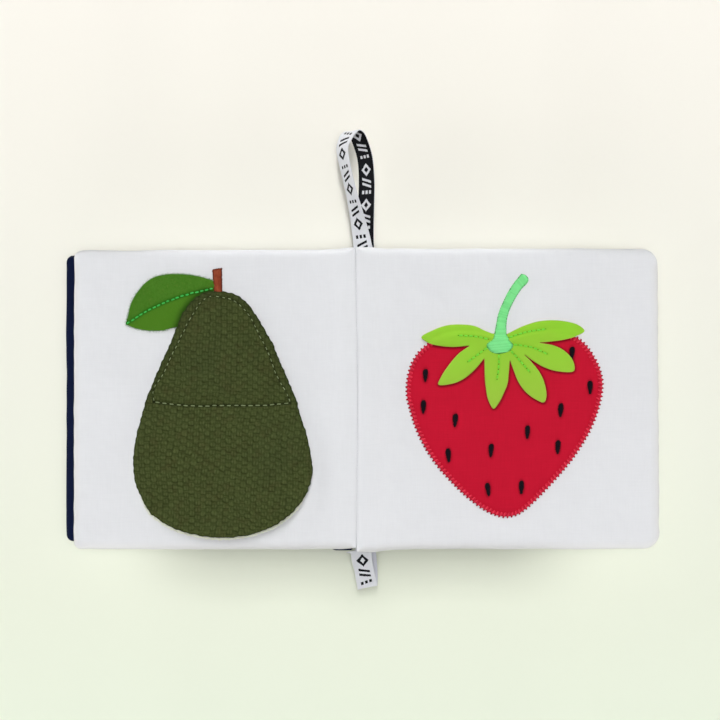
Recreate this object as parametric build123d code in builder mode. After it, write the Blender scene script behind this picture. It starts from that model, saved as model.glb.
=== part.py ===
from build123d import *
import math
import os

# Sensory cloth book, lying open in the middle.
# Millimetres. +X to the right page, +Y to the head of the book, +Z up.
# The origin is on the surface the book lies on, under the middle of its outer box.

# ---------------------------------------------------------------- driving dimensions
HINGE_X = -2.3        # crease between the two halves
HINGE_Z = 22.0        # height of the line the front half folds about
COVER_T = 7.0         # padded cover panel
LEAF_T = 11.0         # padded page leaf
PAGE_Z = COVER_T + LEAF_T
HUMP_Z = 21.5         # top of the leaves beside the crease
HUMP_W = 20.5         # how far the rise beside the crease reaches
HALF_GAP = 1.3        # from the crease plane to the inner face of each half
COVER_LEFT = -150.0   # outer edge of the front cover
COVER_HEAD = 53.2
COVER_FOOT = -92.5
COVER_CORNER = 4.5
LEAF_EDGE_R = 4.6     # rounding of the leaves' outer edges
COVER_EDGE_R = 3.0
SPINE_T = 0.7         # cover cloth in the folded spine strip
SPINE_TOP = 17.0

CLOTH_T = 0.9         # strawberry body
CANVAS_T = 1.6        # coarse canvas of the avocado, turned in
LINING_T = 0.8
FELT_T = 1.2
STRIP_T = 1.4
CALYX_T = 1.2
FOLD_Y = -23.6        # line the avocado's flap lifts at
FLAP_RISE = 2.4       # how far the flap's free end stands up
LINING_RIM = 0.9      # how far the lining shows past the canvas
EDGE_STITCH_W = 2.5
SEED_W = 2.7
SEED_L = 6.4
SEED_T = 0.5
THREAD_W = 0.55
THREAD_T = 0.35

TAPE_W = 10.0
TAPE_T = 0.7

# ---------------------------------------------------------------- outlines
LEFT_PLAN = [(-144.2, 55.2), (-15.7, 55.6), (-8.1, 56.3), (HINGE_X - HALF_GAP, 57.0),
             (HINGE_X - HALF_GAP, -94.4), (-10.6, -95.0), (-30.8, -95.3), (-144.6, -95.2)]
RIGHT_PLAN = [(HINGE_X + HALF_GAP, 57.0), (3.5, 56.9), (12.0, 56.1), (149.0, 56.0), (150.0, -95.0),
              (29.7, -95.2), (12.0, -95.9), (4.5, -96.7), (HINGE_X + HALF_GAP, -96.2)]

AVOCADO = [(-68.7, 34.1), (-63.4, 32.9), (-58.9, 30.3), (-54.7, 25.7), (-51.4, 20.8), (-48.1, 15.0),
           (-44.3, 8.5), (-41.1, 0.8), (-37.4, -7.9), (-32.5, -19.9), (-30.1, -28.4), (-26.9, -38.4),
           (-24.9, -48.4), (-24.2, -54.4), (-25.1, -61.1), (-28.7, -69.1), (-34.1, -75.8), (-41.5, -81.5),
           (-50.1, -85.5), (-60.1, -87.8), (-70.9, -88.5), (-80.2, -87.5), (-90.2, -85.1), (-98.2, -81.3),
           (-105.3, -75.8), (-109.9, -67.8), (-112.8, -59.9), (-113.8, -51.7), (-113.6, -46.4),
           (-111.9, -36.9), (-109.3, -26.9), (-106.3, -17.0), (-101.2, -5.0), (-95.1, 9.0), (-91.9, 16.5),
           (-89.3, 23.2), (-86.0, 27.9), (-82.8, 31.1), (-79.5, 33.2), (-75.2, 34.1)]
AVOCADO_STEM = [(-74.4, 45.4), (-69.5, 45.9), (-69.3, 33.0), (-73.5, 33.0)]
AVOCADO_LEAF_TOP = [(-117.7, 17.9), (-116.5, 22.0), (-114.7, 28.8), (-112.0, 33.5), (-107.8, 38.5),
                    (-103.2, 41.5), (-98.2, 42.7), (-92.9, 43.0), (-85.9, 42.5), (-80.0, 41.5), (-74.0, 39.8)]
AVOCADO_LEAF_FOOT = [(-84.0, 16.8), (-91.4, 16.4), (-94.4, 16.0), (-99.0, 14.8), (-104.4, 14.6),
                     (-108.9, 15.0), (-113.5, 16.1), (-117.7, 17.9)]
STRAWBERRY = [(33.4, 8.0), (29.4, 4.6), (26.1, 0.0), (23.8, -6.0), (22.8, -12.7), (22.9, -18.5),
              (24.1, -23.7), (26.1, -30.7), (29.4, -38.8), (34.2, -47.4), (39.6, -54.8), (46.2, -62.1),
              (53.8, -69.2), (60.5, -74.2), (66.6, -77.4), (72.5, -78.5), (78.3, -77.2), (83.9, -73.2),
              (91.6, -65.6), (99.7, -56.8), (107.7, -46.6), (114.0, -36.0), (118.2, -26.0), (120.4, -16.7),
              (120.8, -12.0), (119.8, -6.0), (117.0, 0.7), (113.1, 6.6), (108.3, 11.0), (102.3, 13.6),
              (95.3, 14.6), (86.5, 14.2), (78.5, 12.2), (71.9, 11.0), (64.4, 12.2), (55.4, 13.6),
              (46.9, 13.4), (39.4, 11.4)]
CALYX_LOBES = [
    [(65.5, 13.3), (62.1, 14.6), (56.8, 17.0), (49.3, 17.8), (42.8, 17.3), (36.1, 15.0), (30.1, 11.3),
     (34.1, 8.3), (39.4, 7.0), (46.1, 6.5), (54.1, 7.1)],
    [(54.1, 7.1), (48.8, 3.3), (44.1, -2.0), (40.1, -8.0), (38.5, -12.2), (44.8, -12.0), (50.8, -9.7),
     (56.2, -5.4), (61.5, 0.7)],
    [(61.5, 0.7), (61.6, -6.0), (62.1, -12.7), (63.6, -20.4), (66.1, -24.3), (68.8, -21.4), (71.5, -16.0),
     (73.2, -11.5), (73.8, -6.0), (74.3, -0.2)],
    [(74.3, -0.2), (76.2, -5.4), (78.8, -11.5), (82.7, -16.5), (87.5, -19.9), (91.2, -21.2), (92.5, -18.3),
     (91.8, -12.4), (89.5, -6.7), (85.5, -1.4), (81.5, 2.7)],
    [(81.5, 2.7), (86.2, -0.7), (91.5, -3.7), (98.2, -5.7), (106.2, -5.4), (105.6, 0.0), (101.5, 4.6),
     (96.2, 7.3), (88.9, 8.6)],
    [(88.9, 8.6), (94.2, 9.1), (100.9, 10.0), (106.9, 11.7), (111.6, 14.5), (108.9, 17.3), (102.9, 19.2),
     (96.2, 19.9), (88.9, 19.4), (81.5, 17.2), (76.2, 14.7), (72.8, 13.0)],
]
BERRY_STEM = [(80.0, 42.9), (83.2, 39.6), (79.7, 35.0), (76.1, 29.2), (73.7, 23.8), (72.6, 18.6),
              (72.5, 13.5), (73.7, 10.2), (75.8, 7.3), (74.0, 4.7), (69.4, 3.2), (64.9, 4.1), (62.7, 7.6),
              (65.8, 10.4), (67.0, 14.7), (68.8, 23.2), (71.2, 29.2), (74.9, 36.2)]
SEEDS = [(32.1, -7.7), (31.1, -23.4), (47.0, -30.1), (43.6, -47.6), (64.9, -45.2), (63.4, -64.7),
         (80.1, -63.6), (83.1, -36.0), (99.7, -25.0), (98.3, -43.5), (114.4, -13.7), (105.4, 3.3)]
FOLD_LINE = [(-103.5, -20.9), (-91.5, -22.4), (-77.5, -22.9), (-70.4, -22.7), (-49.4, -22.7),
             (-39.5, -21.9), (-35.5, -21.6)]
UPPER_SEAM = [(-103.5, -20.9), (-103.9, -15.7), (-102.5, -12.5), (-98.8, -6.8), (-94.8, 2.0), (-91.8, 8.0),
              (-89.0, 13.5), (-86.0, 19.4), (-83.5, 23.4), (-80.6, 28.1), (-75.9, 31.6), (-70.0, 31.3),
              (-63.9, 29.9), (-58.9, 25.9), (-54.9, 20.9), (-52.2, 15.1), (-49.1, 9.2), (-46.0, 2.7),
              (-43.7, -3.8), (-41.0, -10.0), (-37.5, -15.7), (-35.2, -21.6)]
LEAF_VEIN = [(-117.0, 18.3), (-114.7, 19.6), (-107.9, 24.0), (-100.9, 27.5), (-91.7, 31.2), (-87.5, 32.4)]
CALYX_VEINS = [[(48.5, 12.2), (62.0, 11.2)], [(53.1, -0.9), (61.3, 5.5)], [(68.8, 2.0), (67.8, -9.7)],
               [(75.2, 4.0), (80.5, -1.7), (84.2, -6.0)], [(77.4, 7.5), (86.2, 6.0), (92.9, 3.0)],
               [(74.2, 12.0), (82.7, 14.0), (92.2, 15.5)]]
# Tape of the loop: centre x, y, z and the tilt of its width about the length of the book (degrees)
LOOP = [(1.6, 50.0, 8.1, 0), (1.6, 53.0, 8.1, 2), (0.9, 57.2, 8.6, 20), (-0.2, 63.7, 9.4, 31),
        (-1.7, 70.7, 10.5, 44), (-3.3, 77.6, 11.4, 52), (-5.0, 84.6, 12.2, 57), (-7.7, 96.1, 12.6, 58),
        (-9.4, 105.6, 12.0, 56), (-8.2, 111.0, 10.9, 47), (-6.4, 114.2, 9.8, 41), (-4.3, 115.6, 8.4, 40),
        (-2.3, 114.4, 7.0, 40), (-0.4, 110.6, 5.8, 40), (2.0, 102.7, 4.6, 40), (2.9, 90.5, 4.2, 38),
        (2.6, 78.8, 4.6, 36), (2.2, 68.5, 5.4, 31), (1.8, 60.2, 6.3, 21), (1.6, 54.5, 7.2, 3),
        (1.6, 50.0, 7.35, 0)]
# Slit for the tape ends between leaf and cover: width, depth and height, at the head and the foot
SLIT_X = (-4.0, 7.2)
SLIT_HEAD = (49.6, 60.0)
SLIT_FOOT = (-100.0, -89.2)
SLIT_Z = (COVER_T, COVER_T + 1.5)


def shifted(points, amount):
    """The closed outline moved outwards by an amount, or inwards if it is negative."""
    turn = sum(ax * by - bx * ay for (ax, ay), (bx, by) in zip(points, points[1:] + points[:1]))
    side = 1 if turn > 0 else -1
    moved = []
    for (ax, ay), (x, y), (bx, by) in zip(points[-1:] + points[:-1], points, points[1:] + points[:1]):
        run = math.dist((ax, ay), (bx, by))
        moved.append((x + side * amount * (by - ay) / run, y - side * amount * (bx - ax) / run))
    return moved


def tape(points):
    """Stations of a tape: the plane square to its run at each point, with its width tilted."""
    for i, (x, y, z, tilt) in enumerate(points):
        a, b = points[max(i - 1, 0)], points[min(i + 1, len(points) - 1)]
        run = Vector(b[0] - a[0], b[1] - a[1], b[2] - a[2]).normalized()
        across = Vector(math.cos(math.radians(tilt)), 0, math.sin(math.radians(tilt)))
        across = (across - run * across.dot(run)).normalized()
        yield Plane(origin=(x, y, z), x_dir=across, z_dir=run)


def walk(points, pitch):
    """Middle points and directions of stitches along a seam, evenly spaced."""
    runs = [math.dist(a, b) for a, b in zip(points, points[1:])]
    count = max(1, round(sum(runs) / pitch))
    found = []
    for k in range(count):
        want = (k + 0.5) * sum(runs) / count
        for (ax, ay), (bx, by), run in zip(points, points[1:], runs):
            if want <= run:
                t = want / run
                found.append((ax + (bx - ax) * t, ay + (by - ay) * t,
                              math.degrees(math.atan2(by - ay, bx - ax))))
                break
            want -= run
    return found


os.makedirs("parts", exist_ok=True)

# ---------------------------------------------------------------- covers
with BuildPart() as front_cover:
    with BuildSketch() as front_cover_plan:
        with BuildLine():
            Polyline((COVER_LEFT, COVER_HEAD), (HINGE_X - HALF_GAP, COVER_HEAD),
                     (HINGE_X - HALF_GAP, COVER_FOOT), (COVER_LEFT, COVER_FOOT), close=True)
        make_face()
        fillet(front_cover_plan.vertices().group_by(Axis.X)[0], radius=COVER_CORNER)
    extrude(amount=COVER_T)
    outer = front_cover.edges().filter_by(
        lambda e: e.center().X < HINGE_X - HALF_GAP - 0.1 and abs(e.center().Z - COVER_T / 2) > 1)
    fillet(outer, radius=COVER_EDGE_R)
front_cover.part.label = "front_cover"

with BuildPart() as back_cover:
    with BuildSketch() as back_cover_plan:
        with BuildLine():
            Polyline((2 * HINGE_X - COVER_LEFT - 0.5, COVER_HEAD), (HINGE_X + HALF_GAP, COVER_HEAD),
                     (HINGE_X + HALF_GAP, COVER_FOOT), (2 * HINGE_X - COVER_LEFT - 0.5, COVER_FOOT), close=True)
        make_face()
        fillet(back_cover_plan.vertices().group_by(Axis.X)[-1], radius=COVER_CORNER)
    extrude(amount=COVER_T)
    outer = back_cover.edges().filter_by(
        lambda e: e.center().X > HINGE_X + HALF_GAP + 0.1 and abs(e.center().Z - COVER_T / 2) > 1)
    fillet(outer, radius=COVER_EDGE_R)

# ---------------------------------------------------------------- woven tape, sewn in at both ends of the spine
with BuildPart() as ribbon_loop:
    for station in tape(LOOP):
        with BuildSketch(station):
            Rectangle(TAPE_W, TAPE_T)
    loft(ruled=True)
ribbon_loop.part.label = "ribbon_loop"

# The tab: the tape goes out, folds flat and comes back under itself
tab_root = Vector(1.7, -89.6, COVER_T + 1.1)
tab_end = Vector(3.5, -115.68, COVER_T - 2.0)
tab_run = (tab_end - tab_root).normalized()
tab_across = Vector(math.cos(math.radians(4)), 0, math.sin(math.radians(4)))
tab_across = (tab_across - tab_run * tab_across.dot(tab_run)).normalized()
tab_length = (tab_end - tab_root).length
with BuildPart() as ribbon_tab:
    with BuildSketch(Plane(origin=tab_root, x_dir=tab_run, z_dir=tab_across).offset(-TAPE_W / 2)):
        with Locations((tab_length / 2, 0), (tab_length / 2, TAPE_T + 0.1)):
            Rectangle(tab_length, TAPE_T)
        with Locations((tab_length - TAPE_T / 2, (TAPE_T + 0.1) / 2)):
            Rectangle(TAPE_T, TAPE_T + 0.1)
    extrude(amount=TAPE_W)
ribbon_tab.part.label = "ribbon_tab"

# Cover cloth over the spine: it folds up between the halves while the book is open
with BuildPart() as spine_strip:
    with BuildSketch(Plane.XZ.offset(-COVER_HEAD)):
        with Locations((HINGE_X, SPINE_TOP / 2)):
            Rectangle(2 * HALF_GAP - 0.6, SPINE_TOP)
        with Locations((HINGE_X, (SPINE_TOP - SPINE_T) / 2)):
            Rectangle(2 * HALF_GAP - 0.6 - 2 * SPINE_T, SPINE_TOP - SPINE_T, mode=Mode.SUBTRACT)
    extrude(amount=COVER_HEAD - COVER_FOOT)
    # slits for the sewn-in tape ends
    with BuildSketch(Plane.YZ.offset(SLIT_X[0])):
        for low, high in (SLIT_HEAD, SLIT_FOOT):
            with Locations(((low + high) / 2, sum(SLIT_Z) / 2)):
                Rectangle(high - low, SLIT_Z[1] - SLIT_Z[0] + 0.2)
    extrude(amount=SLIT_X[1] - SLIT_X[0], mode=Mode.SUBTRACT)
    add(ribbon_loop.part, mode=Mode.SUBTRACT)
    add(ribbon_tab.part, mode=Mode.SUBTRACT)
spine_strip.part.label = "spine_strip"

# ---------------------------------------------------------------- page leaves
with BuildPart() as left_leaf:
    with BuildSketch(Plane.XY.offset(COVER_T)) as left_plan:
        with BuildLine():
            Polyline(*LEFT_PLAN, close=True)
        make_face()
        fillet(left_plan.vertices().group_by(Axis.X)[0] + left_plan.vertices().group_by(Axis.X)[1], radius=4.0)
    extrude(amount=LEAF_T)
    outer = left_leaf.edges().filter_by(
        lambda e: e.center().X < HINGE_X - HALF_GAP - 0.1 and abs(e.center().Z - COVER_T - LEAF_T / 2) > 1)
    fillet(outer, radius=LEAF_EDGE_R)
    with BuildSketch(Plane.XZ.offset(-51.5)):
        with BuildLine():
            x0 = HINGE_X - HALF_GAP
            Spline((x0, 20.0), (x0 - 1.6, 21.1), (x0 - 5, HUMP_Z), (x0 - 12, 19.9), (HINGE_X - HUMP_W, PAGE_Z))
            Polyline((HINGE_X - HUMP_W, PAGE_Z), (HINGE_X - HUMP_W, PAGE_Z - 3), (x0, PAGE_Z - 3), (x0, 20.0))
        make_face()
    extrude(amount=141.5)
left_leaf.part.label = "left_leaf"

with BuildPart() as right_leaf:
    with BuildSketch(Plane.XY.offset(COVER_T)) as right_plan:
        with BuildLine():
            Polyline(*RIGHT_PLAN, close=True)
        make_face()
        fillet(right_plan.vertices().group_by(Axis.X)[-1] + right_plan.vertices().group_by(Axis.X)[-2], radius=8.0)
    extrude(amount=LEAF_T)
    outer = right_leaf.edges().filter_by(
        lambda e: e.center().X > HINGE_X + HALF_GAP + 0.1 and abs(e.center().Z - COVER_T - LEAF_T / 2) > 1)
    fillet(outer, radius=LEAF_EDGE_R)
    with BuildSketch(Plane.XZ.offset(-51.5)):
        with BuildLine():
            x0 = HINGE_X + HALF_GAP
            Spline((x0, 20.0), (x0 + 1.6, 21.1), (x0 + 5, HUMP_Z), (x0 + 12, 19.9), (HINGE_X + HUMP_W, PAGE_Z))
            Polyline((HINGE_X + HUMP_W, PAGE_Z), (HINGE_X + HUMP_W, PAGE_Z - 3), (x0, PAGE_Z - 3), (x0, 20.0))
        make_face()
    extrude(amount=142.5)
    # slits for the sewn-in tape ends
    with BuildSketch(Plane.YZ.offset(SLIT_X[0])):
        for low, high in (SLIT_HEAD, SLIT_FOOT):
            with Locations(((low + high) / 2, sum(SLIT_Z) / 2)):
                Rectangle(high - low, SLIT_Z[1] - SLIT_Z[0])
    extrude(amount=SLIT_X[1] - SLIT_X[0], mode=Mode.SUBTRACT)
    add(ribbon_loop.part, mode=Mode.SUBTRACT)
    add(ribbon_tab.part, mode=Mode.SUBTRACT)
right_leaf.part.label = "right_leaf"

with BuildPart() as back_cover_cut:
    add(back_cover.part)
    add(ribbon_loop.part, mode=Mode.SUBTRACT)
    add(ribbon_tab.part, mode=Mode.SUBTRACT)
back_cover_cut.part.label = "back_cover"

# ---------------------------------------------------------------- avocado
with BuildPart() as avocado_canvas:
    with BuildSketch(Plane.XY.offset(PAGE_Z)):
        with BuildLine():
            Spline(*AVOCADO, periodic=True)
        make_face()
    extrude(amount=8)
    # its side view: flat where it is sewn down, rising towards the free end of the flap
    with BuildSketch(Plane.YZ.offset(-130)):
        with BuildLine():
            Polyline((60, PAGE_Z), (60, PAGE_Z + CANVAS_T), (FOLD_Y, PAGE_Z + CANVAS_T),
                     (FOLD_Y - 9, PAGE_Z + CANVAS_T + LINING_T + 0.2), (-100, PAGE_Z + CANVAS_T + FLAP_RISE + 0.35),
                     (-100, PAGE_Z + FLAP_RISE + 0.35), (FOLD_Y - 9, PAGE_Z + LINING_T + 0.2), (FOLD_Y, PAGE_Z),
                     close=True)
        make_face()
    extrude(amount=130, mode=Mode.INTERSECT)
avocado_canvas.part.label = "avocado_canvas"

with BuildPart() as avocado_flap_lining:
    with BuildSketch(Plane.XY.offset(PAGE_Z)):
        with BuildLine():
            Spline(*shifted(AVOCADO, LINING_RIM), periodic=True)
        make_face()
    extrude(amount=8)
    with BuildSketch(Plane.YZ.offset(-130)):
        with BuildLine():
            Polyline((FOLD_Y - 9, PAGE_Z + LINING_T + 0.2), (-100, PAGE_Z + FLAP_RISE + 0.35),
                     (-100, PAGE_Z + FLAP_RISE + 0.35 - LINING_T), (FOLD_Y - 9, PAGE_Z + 0.2), close=True)
        make_face()
    extrude(amount=130, mode=Mode.INTERSECT)
avocado_flap_lining.part.label = "avocado_flap_lining"

with BuildPart() as avocado_stem:
    with BuildSketch(Plane.XY.offset(PAGE_Z)):
        with BuildLine():
            Polyline(*AVOCADO_STEM, close=True)
        make_face()
        with BuildLine():
            Spline(*AVOCADO, periodic=True)
        make_face(mode=Mode.SUBTRACT)
    extrude(amount=STRIP_T)
avocado_stem.part.label = "avocado_stem"

with BuildPart() as avocado_leaf:
    with BuildSketch(Plane.XY.offset(PAGE_Z)):
        with BuildLine():
            Spline(*AVOCADO_LEAF_TOP)
            Line(AVOCADO_LEAF_TOP[-1], AVOCADO_LEAF_FOOT[0])
            Spline(*AVOCADO_LEAF_FOOT)
        make_face()
        with BuildLine():
            Spline(*AVOCADO, periodic=True)
        make_face(mode=Mode.SUBTRACT)
        with BuildLine():
            Polyline(*AVOCADO_STEM, close=True)
        make_face(mode=Mode.SUBTRACT)
    extrude(amount=FELT_T)
avocado_leaf.part.label = "avocado_leaf"

with BuildPart() as avocado_topstitch:
    with BuildSketch(Plane.XY.offset(PAGE_Z + CANVAS_T)):
        for x, y, turn in walk(FOLD_LINE, 3.6) + walk(UPPER_SEAM, 3.1):
            with Locations(Location((x, y, 0), (0, 0, turn))):
                SlotOverall(2.1, THREAD_W)
    extrude(amount=THREAD_T)
avocado_topstitch.part.label = "avocado_topstitch"

with BuildPart() as leaf_vein_stitch:
    with BuildSketch(Plane.XY.offset(PAGE_Z + FELT_T)):
        for x, y, turn in walk(LEAF_VEIN, 2.4):
            with Locations(Location((x, y, 0), (0, 0, turn))):
                SlotOverall(1.8, THREAD_W)
    extrude(amount=THREAD_T)
leaf_vein_stitch.part.label = "leaf_vein_stitch"

# ---------------------------------------------------------------- strawberry
with BuildPart() as strawberry_body:
    with BuildSketch(Plane.XY.offset(PAGE_Z)):
        with BuildLine():
            Spline(*shifted(STRAWBERRY, -EDGE_STITCH_W), periodic=True)
        make_face()
    extrude(amount=CLOTH_T)
strawberry_body.part.label = "strawberry_body"

with BuildPart() as strawberry_edge_stitch:
    with BuildSketch(Plane.XY.offset(PAGE_Z)):
        with BuildLine():
            Spline(*STRAWBERRY, periodic=True)
        make_face()
    extrude(amount=CLOTH_T)
    add(strawberry_body.part, mode=Mode.SUBTRACT)
strawberry_edge_stitch.part.label = "strawberry_edge_stitch"

with BuildPart() as strawberry_calyx:
    with BuildSketch(Plane.XY.offset(PAGE_Z + CLOTH_T)):
        with BuildLine():
            for lobe in CALYX_LOBES:
                Spline(*lobe)
            Line(CALYX_LOBES[-1][-1], CALYX_LOBES[0][0])
        make_face()
    extrude(amount=CALYX_T)
strawberry_calyx.part.label = "strawberry_calyx"

with BuildPart() as calyx_vein_stitch:
    with BuildSketch(Plane.XY.offset(PAGE_Z + CLOTH_T + CALYX_T)):
        for vein in CALYX_VEINS:
            for x, y, turn in walk(vein, 2.4):
                with Locations(Location((x, y, 0), (0, 0, turn))):
                    SlotOverall(1.7, THREAD_W)
    extrude(amount=THREAD_T)
    # the stem's embroidery covers the veins' inner ends
    with BuildSketch(Plane.XY.offset(PAGE_Z)):
        with BuildLine():
            Spline(*BERRY_STEM, periodic=True)
        make_face()
    extrude(amount=8, mode=Mode.SUBTRACT)
calyx_vein_stitch.part.label = "calyx_vein_stitch"

with BuildPart() as strawberry_stem:
    with BuildSketch(Plane.XY.offset(PAGE_Z)):
        with BuildLine():
            Spline(*BERRY_STEM, periodic=True)
        make_face()
    extrude(amount=8)
    # it climbs from the page onto the calyx
    with BuildSketch(Plane.YZ.offset(50)):
        with BuildLine():
            Polyline((60, PAGE_Z), (60, PAGE_Z + 1.2), (24, PAGE_Z + 1.4), (15, PAGE_Z + CLOTH_T + CALYX_T + 0.8),
                     (0, PAGE_Z + CLOTH_T + CALYX_T + 0.8), (0, PAGE_Z), close=True)
        make_face()
    extrude(amount=50, mode=Mode.INTERSECT)
    add(strawberry_calyx.part, mode=Mode.SUBTRACT)
    add(strawberry_body.part, mode=Mode.SUBTRACT)
    add(strawberry_edge_stitch.part, mode=Mode.SUBTRACT)
strawberry_stem.part.label = "strawberry_stem"

with BuildPart() as strawberry_seeds:
    with BuildSketch(Plane.XY.offset(PAGE_Z + CLOTH_T)):
        for x, y in SEEDS:
            with BuildLine():
                Spline((x, y - SEED_L / 2), (x + SEED_W / 2, y + 0.6), (x, y + SEED_L / 2),
                       (x - SEED_W / 2, y + 0.6), (x, y - SEED_L / 2))
            make_face()
    extrude(amount=SEED_T)
    add(strawberry_calyx.part, mode=Mode.SUBTRACT)
strawberry_seeds.part.label = "strawberry_seeds"

# ---------------------------------------------------------------- files
export_step(front_cover.part, "parts/front_cover.step")
export_step(back_cover_cut.part, "parts/back_cover.step")
export_step(spine_strip.part, "parts/spine_strip.step")
export_step(left_leaf.part, "parts/left_leaf.step")
export_step(right_leaf.part, "parts/right_leaf.step")
export_step(avocado_canvas.part, "parts/avocado_canvas.step")
export_step(avocado_flap_lining.part, "parts/avocado_flap_lining.step")
export_step(avocado_stem.part, "parts/avocado_stem.step")
export_step(avocado_leaf.part, "parts/avocado_leaf.step")
export_step(avocado_topstitch.part, "parts/avocado_topstitch.step")
export_step(leaf_vein_stitch.part, "parts/leaf_vein_stitch.step")
export_step(strawberry_body.part, "parts/strawberry_body.step")
export_step(strawberry_edge_stitch.part, "parts/strawberry_edge_stitch.step")
export_step(strawberry_calyx.part, "parts/strawberry_calyx.step")
export_step(calyx_vein_stitch.part, "parts/calyx_vein_stitch.step")
export_step(strawberry_stem.part, "parts/strawberry_stem.step")
export_step(strawberry_seeds.part, "parts/strawberry_seeds.step")
export_step(ribbon_loop.part, "parts/ribbon_loop.step")
export_step(ribbon_tab.part, "parts/ribbon_tab.step")
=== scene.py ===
import bpy
import math
import numpy as np
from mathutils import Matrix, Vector
from mathutils.geometry import delaunay_2d_cdt


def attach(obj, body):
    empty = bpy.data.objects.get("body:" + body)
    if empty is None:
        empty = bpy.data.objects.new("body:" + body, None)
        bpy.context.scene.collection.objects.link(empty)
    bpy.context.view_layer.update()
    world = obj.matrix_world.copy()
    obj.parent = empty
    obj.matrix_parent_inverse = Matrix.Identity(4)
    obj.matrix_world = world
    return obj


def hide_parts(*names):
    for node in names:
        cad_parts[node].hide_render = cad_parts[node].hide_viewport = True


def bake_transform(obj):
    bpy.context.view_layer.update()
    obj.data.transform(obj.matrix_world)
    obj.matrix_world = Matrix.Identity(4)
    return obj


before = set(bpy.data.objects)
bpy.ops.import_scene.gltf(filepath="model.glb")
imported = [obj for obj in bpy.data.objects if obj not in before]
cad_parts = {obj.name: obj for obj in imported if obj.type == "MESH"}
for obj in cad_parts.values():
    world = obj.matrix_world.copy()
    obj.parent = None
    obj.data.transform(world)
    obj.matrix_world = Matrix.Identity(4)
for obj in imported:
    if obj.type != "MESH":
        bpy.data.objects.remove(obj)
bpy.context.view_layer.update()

# Shapes are worked out in millimetres, in the book's own frame, and become metres in the meshes.
MM = 0.001
HINGE_X = -2.3
COVER_T = 7.0
PAGE_Z = 18.0
FOLD_Y = -23.6
TAPE_W = 10.0
FRONT, BACK = "front_half", "back_half"

# ------------------------------------------------------------------ outlines
LEFT_PLAN = [(-144.2, 55.2), (-15.7, 55.6), (-8.1, 56.4), (-2.306, 57.0),
             (-2.306, -94.4), (-10.6, -95.0), (-30.8, -95.3), (-144.6, -95.2)]
LEFT_CORNERS = [4, 60, 60, 2.2, 2.2, 60, 60, 4]
RIGHT_PLAN = [(-2.294, 57.0), (3.5, 56.9), (12.0, 56.1), (149.0, 56.0), (150.0, -95.0),
              (29.7, -95.2), (12.0, -95.9), (4.5, -96.7), (-2.294, -96.3)]
RIGHT_CORNERS = [2.2, 40, 60, 8, 8.5, 60, 30, 30, 2.2]
AVOCADO = [(-68.7, 34.1), (-63.4, 32.9), (-58.9, 30.3), (-54.7, 25.7), (-51.4, 20.8), (-48.1, 15.0),
           (-44.3, 8.5), (-41.1, 0.8), (-37.4, -7.9), (-32.5, -19.9), (-30.1, -28.4), (-26.9, -38.4),
           (-24.9, -48.4), (-24.2, -54.4), (-25.1, -61.1), (-28.7, -69.1), (-34.1, -75.8), (-41.5, -81.5),
           (-50.1, -85.5), (-60.1, -87.8), (-70.9, -88.5), (-80.2, -87.5), (-90.2, -85.1), (-98.2, -81.3),
           (-105.3, -75.8), (-109.9, -67.8), (-112.8, -59.9), (-113.8, -51.7), (-113.6, -46.4),
           (-111.9, -36.9), (-109.3, -26.9), (-106.3, -17.0), (-101.2, -5.0), (-95.1, 9.0), (-91.9, 16.5),
           (-89.3, 23.2), (-86.0, 27.9), (-82.8, 31.1), (-79.5, 33.2), (-75.2, 34.1)]
STEM_STRIP = [(-74.4, 45.4), (-71.2, 45.9), (-69.5, 45.8), (-69.3, 31.6), (-73.4, 31.6)]
LEAF_TOP = [(-117.7, 17.9), (-116.5, 22.0), (-114.7, 28.8), (-112.0, 33.5), (-107.8, 38.5),
            (-103.2, 41.5), (-98.2, 42.7), (-92.9, 43.0), (-85.9, 42.5), (-80.0, 41.5), (-74.2, 39.8)]
LEAF_END = [(-72.8, 36.8), (-75.0, 32.6), (-79.5, 29.0), (-83.2, 26.0), (-86.5, 21.0), (-88.2, 16.6)]
LEAF_FOOT = [(-91.4, 16.4), (-94.4, 16.0), (-99.0, 14.8), (-104.4, 14.6),
             (-108.9, 15.0), (-113.5, 16.1), (-117.7, 17.9)]
STRAWBERRY = [(33.4, 8.0), (29.4, 4.6), (26.1, 0.0), (23.8, -6.0), (22.8, -12.7), (22.9, -18.5),
              (24.1, -23.7), (26.1, -30.7), (29.4, -38.8), (34.2, -47.4), (39.6, -54.8), (46.2, -62.1),
              (53.8, -69.2), (60.5, -74.2), (66.6, -77.4), (72.5, -78.5), (78.3, -77.2), (83.9, -73.2),
              (91.6, -65.6), (99.7, -56.8), (107.7, -46.6), (114.0, -36.0), (118.2, -26.0), (120.4, -16.7),
              (120.8, -12.0), (119.8, -6.0), (117.0, 0.7), (113.1, 6.6), (108.3, 11.0), (102.3, 13.6),
              (95.3, 14.6), (86.5, 14.2), (78.5, 12.2), (71.9, 11.0), (64.4, 12.2), (55.4, 13.6),
              (46.9, 13.4), (39.4, 11.4)]
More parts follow.
